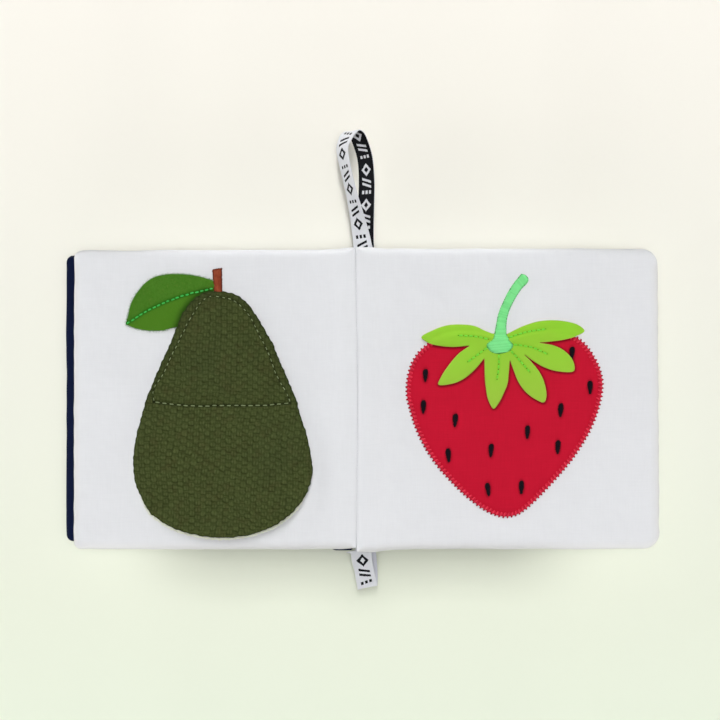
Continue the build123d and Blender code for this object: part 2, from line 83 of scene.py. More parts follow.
CALYX_LOBES = [
    [(65.5, 13.3), (62.1, 14.6), (56.8, 17.0), (49.3, 17.8), (42.8, 17.3), (36.1, 15.0), (30.1, 11.3),
     (34.1, 8.3), (39.4, 7.0), (46.1, 6.5), (54.1, 7.1)],
    [(54.1, 7.1), (48.8, 3.3), (44.1, -2.0), (40.1, -8.0), (38.5, -12.2), (44.8, -12.0), (50.8, -9.7),
     (56.2, -5.4), (61.5, 0.7)],
    [(61.5, 0.7), (61.6, -6.0), (62.1, -12.7), (63.6, -20.4), (66.1, -24.3), (68.8, -21.4), (71.5, -16.0),
     (73.2, -11.5), (73.8, -6.0), (74.3, -0.2)],
    [(74.3, -0.2), (76.2, -5.4), (78.8, -11.5), (82.7, -16.5), (87.5, -19.9), (91.2, -21.2), (92.5, -18.3),
     (91.8, -12.4), (89.5, -6.7), (85.5, -1.4), (81.5, 2.7)],
    [(81.5, 2.7), (86.2, -0.7), (91.5, -3.7), (98.2, -5.7), (106.2, -5.4), (105.6, 0.0), (101.5, 4.6),
     (96.2, 7.3), (88.9, 8.6)],
    [(88.9, 8.6), (94.2, 9.1), (100.9, 10.0), (106.9, 11.7), (111.6, 14.5), (108.9, 17.3), (102.9, 19.2),
     (96.2, 19.9), (88.9, 19.4), (81.5, 17.2), (76.2, 14.7), (72.8, 13.0)],
]
CALYX_VEINS = [[(48.5, 12.2), (57.0, 11.8), (63.5, 10.4)], [(53.1, -0.9), (57.5, 2.2), (63.0, 6.2)],
               [(68.8, 3.0), (68.6, -3.0), (67.8, -9.7)], [(74.6, 4.8), (80.5, -1.7), (84.2, -6.0)],
               [(75.8, 7.9), (86.2, 6.0), (92.9, 3.0)], [(73.8, 11.2), (82.7, 14.0), (92.2, 15.5)]]
BERRY_STEM = [(80.1, 43.0), (82.2, 42.4), (83.4, 41.0), (83.4, 39.4), (79.7, 35.0), (76.1, 29.2), (73.7, 23.8), (72.6, 18.6),
              (72.5, 13.5), (73.7, 10.2), (75.8, 7.3), (74.0, 4.7), (69.4, 3.2), (64.9, 4.1), (62.7, 7.6),
              (65.8, 10.4), (67.0, 14.7), (68.8, 23.2), (71.2, 29.2), (74.9, 36.2)]
STEM_LINE = [(82.1, 41.75), (77.3, 35.6), (73.7, 29.2), (71.2, 23.5), (69.9, 17.0), (69.6, 10.4)]
SEEDS = [(32.1, -7.7), (31.1, -23.4), (47.0, -30.1), (43.6, -47.6), (64.9, -45.2), (63.4, -64.7),
         (80.1, -63.6), (83.1, -36.0), (99.7, -25.0), (98.3, -43.5), (114.4, -13.7), (105.4, 3.3)]
FOLD_LINE = [(-103.5, -20.9), (-91.5, -22.4), (-77.5, -22.9), (-70.4, -22.7), (-49.4, -22.7),
             (-39.5, -21.9), (-35.5, -21.6)]
UPPER_SEAM = [(-103.5, -20.9), (-103.9, -15.7), (-102.5, -12.5), (-98.8, -6.8), (-94.8, 2.0), (-91.8, 8.0),
              (-89.0, 13.5), (-86.0, 19.4), (-83.5, 23.4), (-80.6, 28.1), (-75.9, 31.6), (-70.0, 31.3),
              (-63.9, 29.9), (-58.9, 25.9), (-54.9, 20.9), (-52.2, 15.1), (-49.1, 9.2), (-46.0, 2.7),
              (-43.7, -3.8), (-41.0, -10.0), (-37.5, -15.7), (-35.2, -21.6)]
LEAF_VEIN = [(-117.4, 18.1), (-114.7, 19.6), (-107.9, 24.0), (-100.9, 27.5), (-91.7, 31.2), (-84.0, 33.4),
             (-75.6, 35.2)]
# Tape of the loop: centre x, y, z and the tilt of its width about the length of the book (degrees)
LOOP = [(1.6, 50.0, 8.1, 0), (1.6, 53.0, 8.1, 2), (0.9, 57.2, 8.6, 20), (-0.2, 63.7, 9.4, 31),
        (-1.7, 70.7, 10.5, 44), (-3.3, 77.6, 11.4, 52), (-5.0, 84.6, 12.2, 57), (-7.7, 96.1, 12.6, 58),
        (-9.4, 105.6, 12.0, 56), (-8.2, 111.0, 10.9, 47), (-6.4, 114.2, 9.8, 41), (-4.3, 115.6, 8.4, 40),
        (-2.3, 114.4, 7.0, 40), (-0.4, 110.6, 5.8, 40), (2.0, 102.7, 4.6, 40), (2.9, 90.5, 4.2, 38),
        (2.6, 78.8, 4.6, 36), (2.2, 68.5, 5.4, 31), (1.8, 60.2, 6.3, 21), (1.6, 54.5, 7.2, 3),
        (1.6, 50.0, 7.35, 0)]
TAB = [(1.6, -89.5, 8.15, 0), (1.6, -93.0, 8.1, 1), (0.5, -98.0, 8.0, 12), (1.5, -106.0, 6.9, 11),
       (2.8, -113.0, 5.7, 7), (3.25, -115.0, 5.2, 6), (3.3, -115.55, 4.85, 6), (3.3, -115.0, 4.45, 6),
       (3.4, -113.0, 4.7, 7), (3.3, -106.0, 5.8, 9), (2.7, -98.0, 6.9, 10), (1.9, -93.0, 7.3, 1),
       (1.7, -89.5, 7.35, 0)]


# ------------------------------------------------------------------ curves and noise
def waves(seed, count, short, long):
    """Smooth noise over the plane: a sum of sine waves of mixed length and direction, of about unit strength."""
    rng = np.random.default_rng(seed)
    length = np.exp(rng.uniform(math.log(short), math.log(long), count))
    way = rng.uniform(0, 2 * math.pi, count)
    start = rng.uniform(0, 2 * math.pi, count)

    def value(x, y):
        total = np.zeros(np.broadcast(x, y).shape)
        for one, a, p in zip(length, way, start):
            total = total + np.sin((x * math.cos(a) + y * math.sin(a)) * 2 * math.pi / one + p)
        return total / math.sqrt(count / 2)
    return value


def smooth_step(t):
    t = np.clip(t, 0, 1)
    return t * t * (3 - 2 * t)


def spaced(points, step, closed=False):
    """The line cut into even lengths of about one step."""
    points = np.asarray(points, float)
    if closed:
        points = np.vstack([points, points[:1]])
    run = np.concatenate([[0], np.cumsum(np.linalg.norm(np.diff(points[:, :3], axis=0), axis=1))])
    count = max(2, int(round(run[-1] / step)))
    want = np.linspace(0, run[-1], count + 1)
    made = np.stack([np.interp(want, run, points[:, k]) for k in range(points.shape[1])], 1)
    return made[:-1] if closed else made


def curved(points, closed=False, each=24):
    """A smooth curve through the points."""
    p = np.asarray(points, float)
    n = len(p)
    ends = (lambda i: p[i % n]) if closed else (lambda i: p[min(max(i, 0), n - 1)])
    made = []
    for i in range(n if closed else n - 1):
        a, b, c, d = ends(i - 1), ends(i), ends(i + 1), ends(i + 2)
        gap = [max(np.linalg.norm(v - u), 1e-6) ** 0.5 for u, v in ((a, b), (b, c), (c, d))]
        if not closed and i == 0:
            gap[0] = gap[1]
        if not closed and i == n - 2:
            gap[2] = gap[1]
        m0 = (c - b) - gap[1] * ((c - a) / (gap[0] + gap[1]) - (b - a) / gap[0]) if gap[0] else c - b
        m1 = (c - b) + gap[1] * ((d - c) / gap[2] - (d - b) / (gap[1] + gap[2]))
        if not closed and i == 0:
            m0 = c - b
        if not closed and i == n - 2:
            m1 = c - b
        t = np.linspace(0, 1, each, endpoint=False)[:, None]
        made.append((2 * t**3 - 3 * t**2 + 1) * b + (t**3 - 2 * t**2 + t) * m0
                    + (3 * t**2 - 2 * t**3) * c + (t**3 - t**2) * m1)
    made = np.vstack(made)
    return made if closed else np.vstack([made, p[-1:]])


def rounded(points, radii):
    """A closed polygon with its corners rounded."""
    made = []
    n = len(points)
    for i, radius in enumerate(radii):
        p = np.array(points[i], float)
        a, b = np.array(points[i - 1], float) - p, np.array(points[(i + 1) % n], float) - p
        la, lb = np.linalg.norm(a), np.linalg.norm(b)
        a, b = a / la, b / lb
        half = math.acos(max(-1, min(1, float(a @ b)))) / 2
        cut = min(radius / math.tan(half), 0.45 * la, 0.45 * lb)
        t = np.linspace(0, 1, 13)[:, None]
        start, end = p + a * cut, p + b * cut
        w = math.sin(half)
        # a rational curve, which is a true arc
        made.append(((1 - t)**2 * start + 2 * t * (1 - t) * w * p + t**2 * end) / ((1 - t)**2 + 2 * t * (1 - t) * w + t**2))
    return np.vstack(made)


def area_of(loop):
    x, y = loop[:, 0], loop[:, 1]
    return float(np.sum(x * np.roll(y, -1) - y * np.roll(x, -1)) / 2)


def ccw(loop):
    return loop if area_of(loop) > 0 else loop[::-1].copy()


def outward(loop):
    along = np.roll(loop, -1, 0) - np.roll(loop, 1, 0)
    out = np.stack([along[:, 1], -along[:, 0]], 1)
    return out / np.maximum(np.linalg.norm(out, axis=1), 1e-9)[:, None]


def nearest(points, loop, block=3000):
    """Distance from each point to a closed line, measured to its segments."""
    a, b = loop, np.roll(loop, -1, 0)
    d = b - a
    dd = np.maximum((d * d).sum(1), 1e-12)
    found = np.empty(len(points))
    for s in range(0, len(points), block):
        p = points[s:s + block, None, :]
        t = np.clip(((p - a) * d).sum(2) / dd, 0, 1)
        gap = p - (a + t[..., None] * d)
        found[s:s + block] = np.sqrt((gap * gap).sum(2).min(1))
    return found


def within(points, loop):
    x, y = points[:, 0], points[:, 1]
    inside = np.zeros(len(points), bool)
    for (ax, ay), (bx, by) in zip(loop, np.roll(loop, -1, 0)):
        if ay != by:
            cross = ((ay > y) != (by > y)) & (x < (bx - ax) * (y - ay) / (by - ay) + ax)
            inside ^= cross
    return inside


def room(loop, out, most):
    """How far each point of an outline can move inwards before it meets another side."""
    free = np.full(len(loop), float(most))
    open_ = np.ones(len(loop), bool)
    for r in np.linspace(most / 12, most, 12):
        near = nearest(loop - out * r, loop)
        bad = open_ & (near < 0.95 * r)
        free[bad] = r * 11 / 12
        open_ &= ~bad
    for _ in range(2):
        free = np.minimum(free, (np.roll(free, 1) + free + np.roll(free, -1)) / 3)
    return free


def grid_inside(loop, pitch, margin):
    low, high = loop.min(0), loop.max(0)
    gx = np.arange(low[0] + pitch / 2, high[0], pitch)
    gy = np.arange(low[1] + pitch / 2, high[1], pitch)
    points = np.stack(np.meshgrid(gx, gy), -1).reshape(-1, 2)
    points = points[within(points, loop)]
    return points[nearest(points, loop) > margin]


def fill(ring, inner):
    """Triangles over a closed ring and the points inside it, anticlockwise from above."""
    verts = [Vector(p) for p in ring] + [Vector(p) for p in inner]
    done = delaunay_2d_cdt(verts, [], [list(range(len(ring)))], 1, 1e-7)
    back = np.array([o[0] if o else -1 for o in done[3]])
    tris = back[np.array([f for f in done[2] if len(f) == 3])]
    tris = tris[(tris >= 0).all(1)]
    p = np.vstack([ring, inner])
    a, b, c = p[tris[:, 0]], p[tris[:, 1]], p[tris[:, 2]]
    turn = (b[:, 0] - a[:, 0]) * (c[:, 1] - a[:, 1]) - (b[:, 1] - a[:, 1]) * (c[:, 0] - a[:, 0])
    tris[turn < 0] = tris[turn < 0][:, ::-1]
    return tris[np.abs(turn) > 1e-9]


class Patch:
    """A closed piece over an outline. Rings roll from its edge onto the upper and the lower face, and each face is
    filled. share is 0 at the edge and 1 on a face, side is 1 above and -1 below, and column is the outline's point."""

    def __init__(self, loop, upper, lower=None, pitch=1.0, low_pitch=None, most=1.0):
        self.loop = ccw(np.asarray(loop, float))
        n = len(self.loop)
        out = outward(self.loop)
        scale = np.minimum(1, 0.9 * room(self.loop, out, most) / most)
        plan, share, side, column, faces = [self.loop], [np.zeros(n)], [np.zeros(n)], [np.arange(n)], []
        count = n
        here = np.arange(n)
        after = np.roll(here, -1)
        for sign, (insets, shares), step in ((1, upper, pitch), (-1, lower or upper, low_pitch or pitch)):
            last = here
            for inset, part in zip(insets, shares):
                plan.append(self.loop - out * (np.broadcast_to(inset, (n,)) * scale)[:, None])
                share.append(np.broadcast_to(part, (n,)).astype(float))
                side.append(np.full(n, float(sign)))
                column.append(here)
                ring = np.arange(count, count + n)
                quad = np.stack([last[here], last[after], ring[after], ring[here]], 1)
                faces.append(quad if sign > 0 else quad[:, ::-1])
                last = ring
                count += n
            ring = plan[-1]
            inner = grid_inside(ring, step, 0.6 * min(step, 1.2))
            tris = fill(ring, inner)
            index = np.concatenate([last, np.arange(count, count + len(inner))])
            tris = index[tris]
            faces.append(tris if sign > 0 else tris[:, ::-1])
            plan.append(inner)
            share.append(np.ones(len(inner)))
            side.append(np.full(len(inner), float(sign)))
            column.append(np.full(len(inner), -1))
            count += len(inner)
        self.plan = np.vstack(plan)
        self.share = np.concatenate(share)
        self.side = np.concatenate(side)
        self.column = np.concatenate(column)
        self.faces = faces
        self.edge = nearest(self.plan, self.loop)

    def x(self):
        return self.plan[:, 0]

    def y(self):
        return self.plan[:, 1]


def mesh(name, verts, faces, materials, body=None, cad=(), slot=None, kinds=None, smooth=True, **values):
    """An object from points in millimetres and arrays of triangles or quads. kinds is a material number for each face,
    and values are numbers or vectors kept at each point for its material."""
    data = bpy.data.meshes.new(name)
    verts = np.asarray(verts, np.float32) * MM
    faces = [f for f in (faces if isinstance(faces, list) else [faces]) if len(f)]
    loops = np.concatenate([f.ravel() for f in faces]).astype(np.int32)
    sizes = np.concatenate([np.full(len(f), f.shape[1]) for f in faces])
    data.vertices.add(len(verts))
    data.vertices.foreach_set("co", verts.ravel())
    data.loops.add(len(loops))
    data.loops.foreach_set("vertex_index", loops)
    data.polygons.add(len(sizes))
    data.polygons.foreach_set("loop_start", np.concatenate([[0], np.cumsum(sizes)[:-1]]).astype(np.int32))
    data.polygons.foreach_set("use_smooth", np.full(len(sizes), smooth))
    for one in (materials if isinstance(materials, (list, tuple)) else [materials]):
        data.materials.append(one)
    if kinds is not None:
        data.polygons.foreach_set("material_index", np.asarray(kinds, np.int32))
    data.update(calc_edges=True)
    for key, value in values.items():
        value = np.asarray(value, np.float32)
        kind = "FLOAT_VECTOR" if value.ndim == 2 else "FLOAT"
        held = data.attributes.new(key, kind, "POINT")
        held.data.foreach_set("vector" if value.ndim == 2 else "value", value.ravel())
    data.validate()
    obj = bpy.data.objects.new(name, data)
    bpy.context.scene.collection.objects.link(obj)
    if body:
        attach(obj, body)
    if cad:
        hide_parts(*cad)
    return obj


def tubes(paths, wide, high, sides=6, ends=2):
    """Threads along paths of one length: (count, stations, 3) points, an oval section, and rounded ends.
    Returns points and faces."""
    paths = np.asarray(paths, float)
    m, n, _ = paths.shape
    run = np.gradient(paths, axis=1)
    run /= np.maximum(np.linalg.norm(run, axis=2, keepdims=True), 1e-9)
    up = np.broadcast_to(np.array([0.0, 0, 1]), run.shape)
    across = np.cross(up, run)
    size = np.linalg.norm(across, axis=2, keepdims=True)
    across = np.where(size > 1e-3, across / np.maximum(size, 1e-9), np.array([1.0, 0, 0]))
    up = np.cross(run, across)
    taper = np.ones(n)
    for k in range(ends):
        taper[k] = taper[n - 1 - k] = math.sin(math.pi / 2 * (k + 0.45) / (ends + 0.2))
    a = np.arange(sides) * 2 * math.pi / sides
    wide = np.broadcast_to(wide, (m,))[:, None, None, None]
    high = np.broadcast_to(high, (m,))[:, None, None, None]
    ring = (paths[:, :, None, :] + taper[None, :, None, None]
            * (np.cos(a)[None, None, :, None] * wide * across[:, :, None, :]
               + np.sin(a)[None, None, :, None] * high * up[:, :, None, :]))
    verts = ring.reshape(-1, 3)
    base = (np.arange(m)[:, None, None] * n + np.arange(n - 1)[None, :, None]) * sides
    i = np.arange(sides)[None, None, :]
    j = (i + 1) % sides
    quads = np.stack([base + i, base + j, base + sides + j, base + sides + i], -1).reshape(-1, 4)
    quads = quads[:, ::-1]
    first = (np.arange(m)[:, None] * n) * sides + np.arange(sides)[None, :]
    last = (np.arange(m)[:, None] * n + n - 1) * sides + np.arange(sides)[None, :]
    return verts, [quads, first, last[:, ::-1]]


def shell(grid, thick, keep=None):
    """A closed sheet from a grid of middle points (rows, columns, 3). Returns points, faces, and for each face the
    cell it came from and which side it is on: 1 above, -1 below, 0 at an edge."""
    grid = np.asarray(grid, float)
    r, c, _ = grid.shape
    du, dv = np.gradient(grid, axis=0), np.gradient(grid, axis=1)
    nrm = np.cross(dv, du)
    nrm /= np.maximum(np.linalg.norm(nrm, axis=2, keepdims=True), 1e-9)
    thick = np.broadcast_to(thick, (r, c))[..., None]
    verts = np.vstack([(grid + nrm * thick / 2).reshape(-1, 3), (grid - nrm * thick / 2).reshape(-1, 3)])
    keep = np.ones((r - 1, c - 1), bool) if keep is None else keep
    ii, jj = np.nonzero(keep)
    a = ii * c + jj
    top = np.stack([a, a + 1, a + c + 1, a + c], 1)
    lower = top[:, ::-1] + r * c
    faces, cells, sides = [top, lower], [np.stack([ii, jj], 1)] * 2, [np.ones(len(a)), -np.ones(len(a))]
    padded = np.zeros((r + 1, c + 1), bool)
    padded[1:-1, 1:-1] = keep
    for di, dj, p, q in ((-1, 0, 0, 1), (1, 0, c + 1, c), (0, -1, c, 0), (0, 1, 1, c + 1)):
        bare = keep & ~padded[1 + di:r + di, 1 + dj:c + dj]
        ei, ej = np.nonzero(bare)
        e = ei * c + ej
        faces.append(np.stack([e + q, e + p, e + p + r * c, e + q + r * c], 1))
        cells.append(np.stack([ei, ej], 1))
        sides.append(np.zeros(len(e)))
    return verts, nrm, np.vstack(faces), np.vstack(cells), np.concatenate(sides)


def tidy(verts, faces):
    """Drops points that no face uses."""
    faces = faces if isinstance(faces, list) else [faces]
    used = np.unique(np.concatenate([f.ravel() for f in faces]))
    index = np.full(len(verts), -1)
    index[used] = np.arange(len(used))
    return verts[used], [index[f] for f in faces], used


def stitches(line, pitch, length, wide, high, lift, closed=False, depth=0.5, jitter=0.06, seed=1):
    """Running stitches along a line: each rises out of the cloth, lies on it and goes back in.
    lift(x, y) is the cloth's surface."""
    rng = np.random.default_rng(seed)
    dense = spaced(curved(line, closed), 0.1, closed)
    run = np.concatenate([[0], np.cumsum(np.linalg.norm(np.diff(dense, axis=0), axis=1))])
    count = max(1, round(run[-1] / pitch))
    paths = []
    for k in range(count):
        middle = (k + 0.5) * run[-1] / count + rng.normal(0, jitter)
        size = length * (1 + rng.normal(0, 0.07))
        s = middle + np.linspace(-0.5, 0.5, 9) * size
        x, y = np.interp(s, run, dense[:, 0]), np.interp(s, run, dense[:, 1])
        if s[0] < 0 or s[-1] > run[-1]:
            ax, ay = np.interp(middle, run, dense[:, 0]), np.interp(middle, run, dense[:, 1])
            bx, by = np.interp(middle + 0.2, run, dense[:, 0]), np.interp(middle + 0.2, run, dense[:, 1])
            if abs(bx - ax) + abs(by - ay) < 1e-6:
                bx, by = ax * 2 - np.interp(middle - 0.2, run, dense[:, 0]), ay * 2 - np.interp(middle - 0.2, run, dense[:, 1])
            d = np.array([bx - ax, by - ay])
            d /= np.linalg.norm(d)
            x, y = ax + d[0] * (s - middle), ay + d[1] * (s - middle)
        side = rng.normal(0, jitter * 0.8)
        turn = rng.normal(0, 0.04)
        along = np.array([x[-1] - x[0], y[-1] - y[0]])
        along /= np.linalg.norm(along)
        x = x - along[1] * (side + turn * (s - middle))
        y = y + along[0] * (side + turn * (s - middle))
        t = np.linspace(-1, 1, 9)
        z = lift(x, y) + high * 0.55 - depth * np.abs(t) ** 4
        paths.append(np.stack([x, y, z], 1))
    return tubes(paths, wide / 2, high / 2, 7, 2)


# ------------------------------------------------------------------ materials
class Shader:
    """Small helper around one material's nodes."""

    def __init__(self, name, rough=0.85, sheen=0.0, sheen_rough=0.5, specular=0.3):
        self.material = bpy.data.materials.new(name)
        self.material.use_nodes = True
        self.tree = self.material.node_tree
        self.out = next(n for n in self.tree.nodes if n.type == "BSDF_PRINCIPLED")
        self.out.inputs["Roughness"].default_value = rough
        self.out.inputs["Sheen Weight"].default_value = sheen
        self.out.inputs["Sheen Roughness"].default_value = sheen_rough
        self.out.inputs["Specular IOR Level"].default_value = specular
        self.place = self.node("ShaderNodeTexCoord").outputs["Object"]
        self.height = None

    def node(self, kind, **settings):
        made = self.tree.nodes.new(kind)
        for key, value in settings.items():
            setattr(made, key, value)
        return made

    def put(self, socket, value):
        if isinstance(value, bpy.types.NodeSocket):
            self.tree.links.new(value, socket)
        elif value is not None:
            socket.default_value = value

    def math(self, kind, a, b=None, c=None, clamp=False):
        made = self.node("ShaderNodeMath", operation=kind, use_clamp=clamp)
        for socket, value in zip(made.inputs, (a, b, c)):
            self.put(socket, value)
        return made.outputs[0]

    def held(self, name):
        return self.node("ShaderNodeAttribute", attribute_name=name)

    def split(self, vector):
        made = self.node("ShaderNodeSeparateXYZ")
        self.put(made.inputs[0], vector)
        return made.outputs

    def scaled(self, vector, size, turn=0.0):
        made = self.node("ShaderNodeMapping")
        self.put(made.inputs["Vector"], vector)
        made.inputs["Scale"].default_value = size
        made.inputs["Rotation"].default_value = (0, 0, turn)
        return made.outputs[0]

    def noise(self, pitch_mm, detail=2.0, rough=0.5, vector=None, distort=0.0):
        """Noise from 0 to 1 whose blobs are about pitch_mm wide, in place coordinates."""
        made = self.node("ShaderNodeTexNoise")
        self.put(made.inputs["Vector"], vector if vector is not None else self.place)
        made.inputs["Scale"].default_value = 1000.0 / pitch_mm if vector is None else 1.0 / pitch_mm
        made.inputs["Detail"].default_value = detail
        made.inputs["Roughness"].default_value = rough
        made.inputs["Distortion"].default_value = distort
        return made.outputs["Fac"]

    def range(self, value, low, high, to_low=0.0, to_high=1.0, smooth=False):
        made = self.node("ShaderNodeMapRange", clamp=True)
        if smooth:
            made.interpolation_type = "SMOOTHSTEP"
        self.put(made.inputs["Value"], value)
        for key, number in (("From Min", low), ("From Max", high), ("To Min", to_low), ("To Max", to_high)):
            made.inputs[key].default_value = number
        return made.outputs[0]

    def mix(self, share, a, b):
        made = self.node("ShaderNodeMix", data_type="RGBA")
        self.put(made.inputs["Factor"], share)
        colours = [s for s in made.inputs if s.type == "RGBA"]
        self.put(colours[0], a)
        self.put(colours[1], b)
        return next(s for s in made.outputs if s.type == "RGBA")

    def weave(self, u, v, pitch):
        """Height of a plain weave: threads along both ways, each passing over and under in turn."""
        a = self.math("MULTIPLY", u, math.pi / pitch)
        b = self.math("MULTIPLY", v, math.pi / pitch)
        sa, sb = self.math("SINE", a), self.math("SINE", b)
        over = self.range(self.math("MULTIPLY", sa, sb), -0.25, 0.25)
        warp = self.math("ABSOLUTE", sa)
        weft = self.math("ABSOLUTE", sb)
        first = self.math("MULTIPLY", warp, over)
        second = self.math("MULTIPLY", weft, self.math("SUBTRACT", 1.0, over))
        return self.math("ADD", first, second)

    def bump(self, height, depth_mm, strength=1.0):
        """Adds a bump of that depth."""
        made = self.node("ShaderNodeBump")
        made.inputs["Strength"].default_value = strength
        made.inputs["Distance"].default_value = depth_mm * MM
        self.put(made.inputs["Height"], height)
        if self.height is not None:
            self.put(made.inputs["Normal"], self.height)
        self.height = made.outputs[0]

    def finish(self, colour, rough=None):
        self.put(self.out.inputs["Base Color"], colour)
        if rough is not None:
            self.put(self.out.inputs["Roughness"], rough)
        if self.height is not None:
            self.put(self.out.inputs["Normal"], self.height)
        return self.material


def linear(code):
    """A colour as written #rrggbb, in the numbers that the shader takes."""
    made = []
    for k in (0, 2, 4):
        v = int(code[k:k + 2], 16) / 255
        made.append(v / 12.92 if v <= 0.04045 else ((v + 0.055) / 1.055) ** 2.4)
    return (*made, 1.0)


def cotton(name, light, dark, pitch=0.45, depth=0.05, sheen=0.0, rough=0.9, blotch=26.0, specular=0.1, seen=0.2):
    """Plain woven cotton: threads both ways, uneven yarns and faint cloudiness."""
    s = Shader(name, rough=rough, sheen=sheen, specular=specular)
    mm = s.scaled(s.place, (1000.0, 1000.0, 1000.0))
    x, y, z = s.split(mm)
    wob = s.math("MULTIPLY", s.math("SUBTRACT", s.noise(9.0, 1.0), 0.5), 0.5)
    u = s.math("ADD", s.math("ADD", x, z), wob)
    v = s.math("ADD", s.math("SUBTRACT", y, z), wob)
    woven = s.weave(u, v, pitch)
    slub = s.node("ShaderNodeTexNoise")
    s.put(slub.inputs["Vector"], s.scaled(s.place, (90.0, 1800.0, 900.0)))
    slub.inputs["Scale"].default_value = 1.0
    slub.inputs["Detail"].default_value = 2.0
    slub2 = s.node("ShaderNodeTexNoise")
    s.put(slub2.inputs["Vector"], s.scaled(s.place, (1800.0, 90.0, 900.0)))
    slub2.inputs["Scale"].default_value = 1.0
    slub2.inputs["Detail"].default_value = 2.0
    yarn = s.math("MULTIPLY", s.math("ADD", slub.outputs["Fac"], slub2.outputs["Fac"]), 0.5)
    cloud = s.noise(blotch, 3.0, 0.55)
    share = s.math("ADD", s.math("MULTIPLY", s.range(yarn, 0.35, 0.65), 0.45),
                   s.math("ADD", s.math("MULTIPLY", s.range(cloud, 0.3, 0.7), 0.35), s.math("MULTIPLY", woven, seen)))
    s.bump(woven, depth, 0.6)
    s.bump(yarn, depth * 1.6, 0.6)
    return s, s.mix(share, dark, light), share


white = cotton("white_cotton", linear("e6e7ea"), linear("dfe0e3"), pitch=0.36, depth=0.02, specular=0.2, seen=0.05)
# painted shade: the page cloth is mixed towards a darker grey near its outer edges
white_cotton = white[0].finish(white[0].mix(white[0].math("MULTIPLY", white[0].held("handled").outputs["Fac"], 0.7), white[1], linear("d9d7d6")))
navy = cotton("navy_cotton", linear("121b3b"), linear("0b122a"), pitch=0.4, depth=0.06, specular=0.06)
navy_cotton = navy[0].finish(navy[1])
red = cotton("red_cotton", linear("c91934"), linear("ba152d"), pitch=0.4, depth=0.03, blotch=34.0, specular=0.05, seen=0.08)
# painted shade: the red cloth darkens beside the calyx, more on its lower right, and around each seed
red_cotton = red[0].finish(red[0].mix(red[0].math("MULTIPLY", red[0].held("crease").outputs["Fac"], 0.8), red[1], linear("6e0a16")))
lining_ = cotton("cream_lining", linear("eceddf"), linear("d8dac8"), pitch=0.8, depth=0.12, specular=0.15)
cream_lining = lining_[0].finish(lining_[1])


def canvas_material():
    """Coarse basket weave: pairs of heavy yarns. The blocks are in the mesh; the single yarns and their fibres are here."""
    s = Shader("olive_canvas", rough=0.92, specular=0.06)
    lift = s.held("lift").outputs["Fac"]
    yarn = s.held("yarn").outputs["Vector"]      # place across and along the yarn on top, in yarn widths
    u, v, w = s.split(yarn)
    ridge = s.math("ABSOLUTE", s.math("SINE", s.math("MULTIPLY", u, math.pi)))
    twist = s.math("SINE", s.math("ADD", s.math("MULTIPLY", v, 9.0), s.math("MULTIPLY", u, 4.0)))
    fibre = s.noise(0.28, 3.0, 0.6)
    patch = s.noise(3.2, 2.0, 0.5)
    broad = s.noise(30.0, 2.0, 0.5)
    grain = s.noise(1.0, 2.0, 0.6)
    # painted shading of the weave's relief: higher yarns lighter, lower yarns darker
    tone = s.math("ADD", s.math("MULTIPLY", s.range(lift, 0.25, 0.95), 0.46),
                  s.math("ADD", s.math("MULTIPLY", s.range(patch, 0.32, 0.68), 0.16),
                         s.math("ADD", s.math("MULTIPLY", fibre, 0.2), s.math("MULTIPLY", s.range(grain, 0.32, 0.68), 0.3))))
    base = s.mix(s.range(tone, 0.1, 1.0), linear("32381b"), linear("535d34"))
    base = s.mix(s.math("MULTIPLY", s.range(broad, 0.4, 0.75), 0.25), base, linear("3e482b"))
    base = s.mix(s.math("MULTIPLY", s.range(s.noise(5.5, 2.0), 0.5, 0.75), 0.3), base, linear("4a4428"))
    # painted shade in the gaps between the yarns
    base = s.mix(s.math("MULTIPLY", s.held("gap").outputs["Fac"], 0.6), base, linear("181d06"))
    # painted shade at the canvas's upper rim, along its stitch ditches and at its very edge
    base = s.mix(s.math("MULTIPLY", s.held("rim").outputs["Fac"], 0.3), base, linear("232b16"))
    base = s.mix(s.math("MULTIPLY", s.held("ditch").outputs["Fac"], 0.75), base, linear("171d0e"))
    s.bump(ridge, 0.12, 0.6)
    s.bump(twist, 0.03, 0.5)
    s.bump(fibre, 0.08, 0.6)
    return s.finish(base)


def felt(name, light, dark, vein=None, vein_colour=None, shade=None):
    """Pressed wool felt: matted fibres, soft fuzz at grazing angles."""
    s = Shader(name, rough=0.95, sheen=0.04, sheen_rough=0.6, specular=0.05)
    fine = s.noise(0.35, 4.0, 0.65, distort=0.6)
    mat = s.noise(1.6, 3.0, 0.6, distort=1.2)
    broad = s.noise(14.0, 2.0)
    share = s.math("ADD", s.math("MULTIPLY", s.range(fine, 0.3, 0.7), 0.4),
                   s.math("ADD", s.math("MULTIPLY", s.range(mat, 0.3, 0.7), 0.35), s.math("MULTIPLY", s.range(broad, 0.3, 0.7), 0.25)))
    colour = s.mix(share, dark, light)
    speck = s.range(s.noise(1.1, 3.0, 0.75, distort=0.8), 0.48, 0.7)
    colour = s.mix(s.math("MULTIPLY", speck, 0.6), colour, dark)
    stray = s.range(s.noise(2.2, 3.0, 0.7, distort=1.5), 0.56, 0.74)      # a few fibres of another dye
    colour = s.mix(s.math("MULTIPLY", stray, 0.38), colour, linear("6d7c34"))
    if shade:
        colour = s.mix(s.math("MULTIPLY", s.held("half").outputs["Fac"], 0.6), colour, shade)
    if vein:
        colour = s.mix(s.held("vein").outputs["Fac"], colour, vein)
        # painted shadow: the felt darkens beside the avocado's outline
        colour = s.mix(s.math("MULTIPLY", s.held("near").outputs["Fac"], 0.7), colour, linear("1e3a0c"))
    s.bump(mat, 0.12, 0.6)
    s.bump(fine, 0.07, 0.8)
    return s.finish(colour)


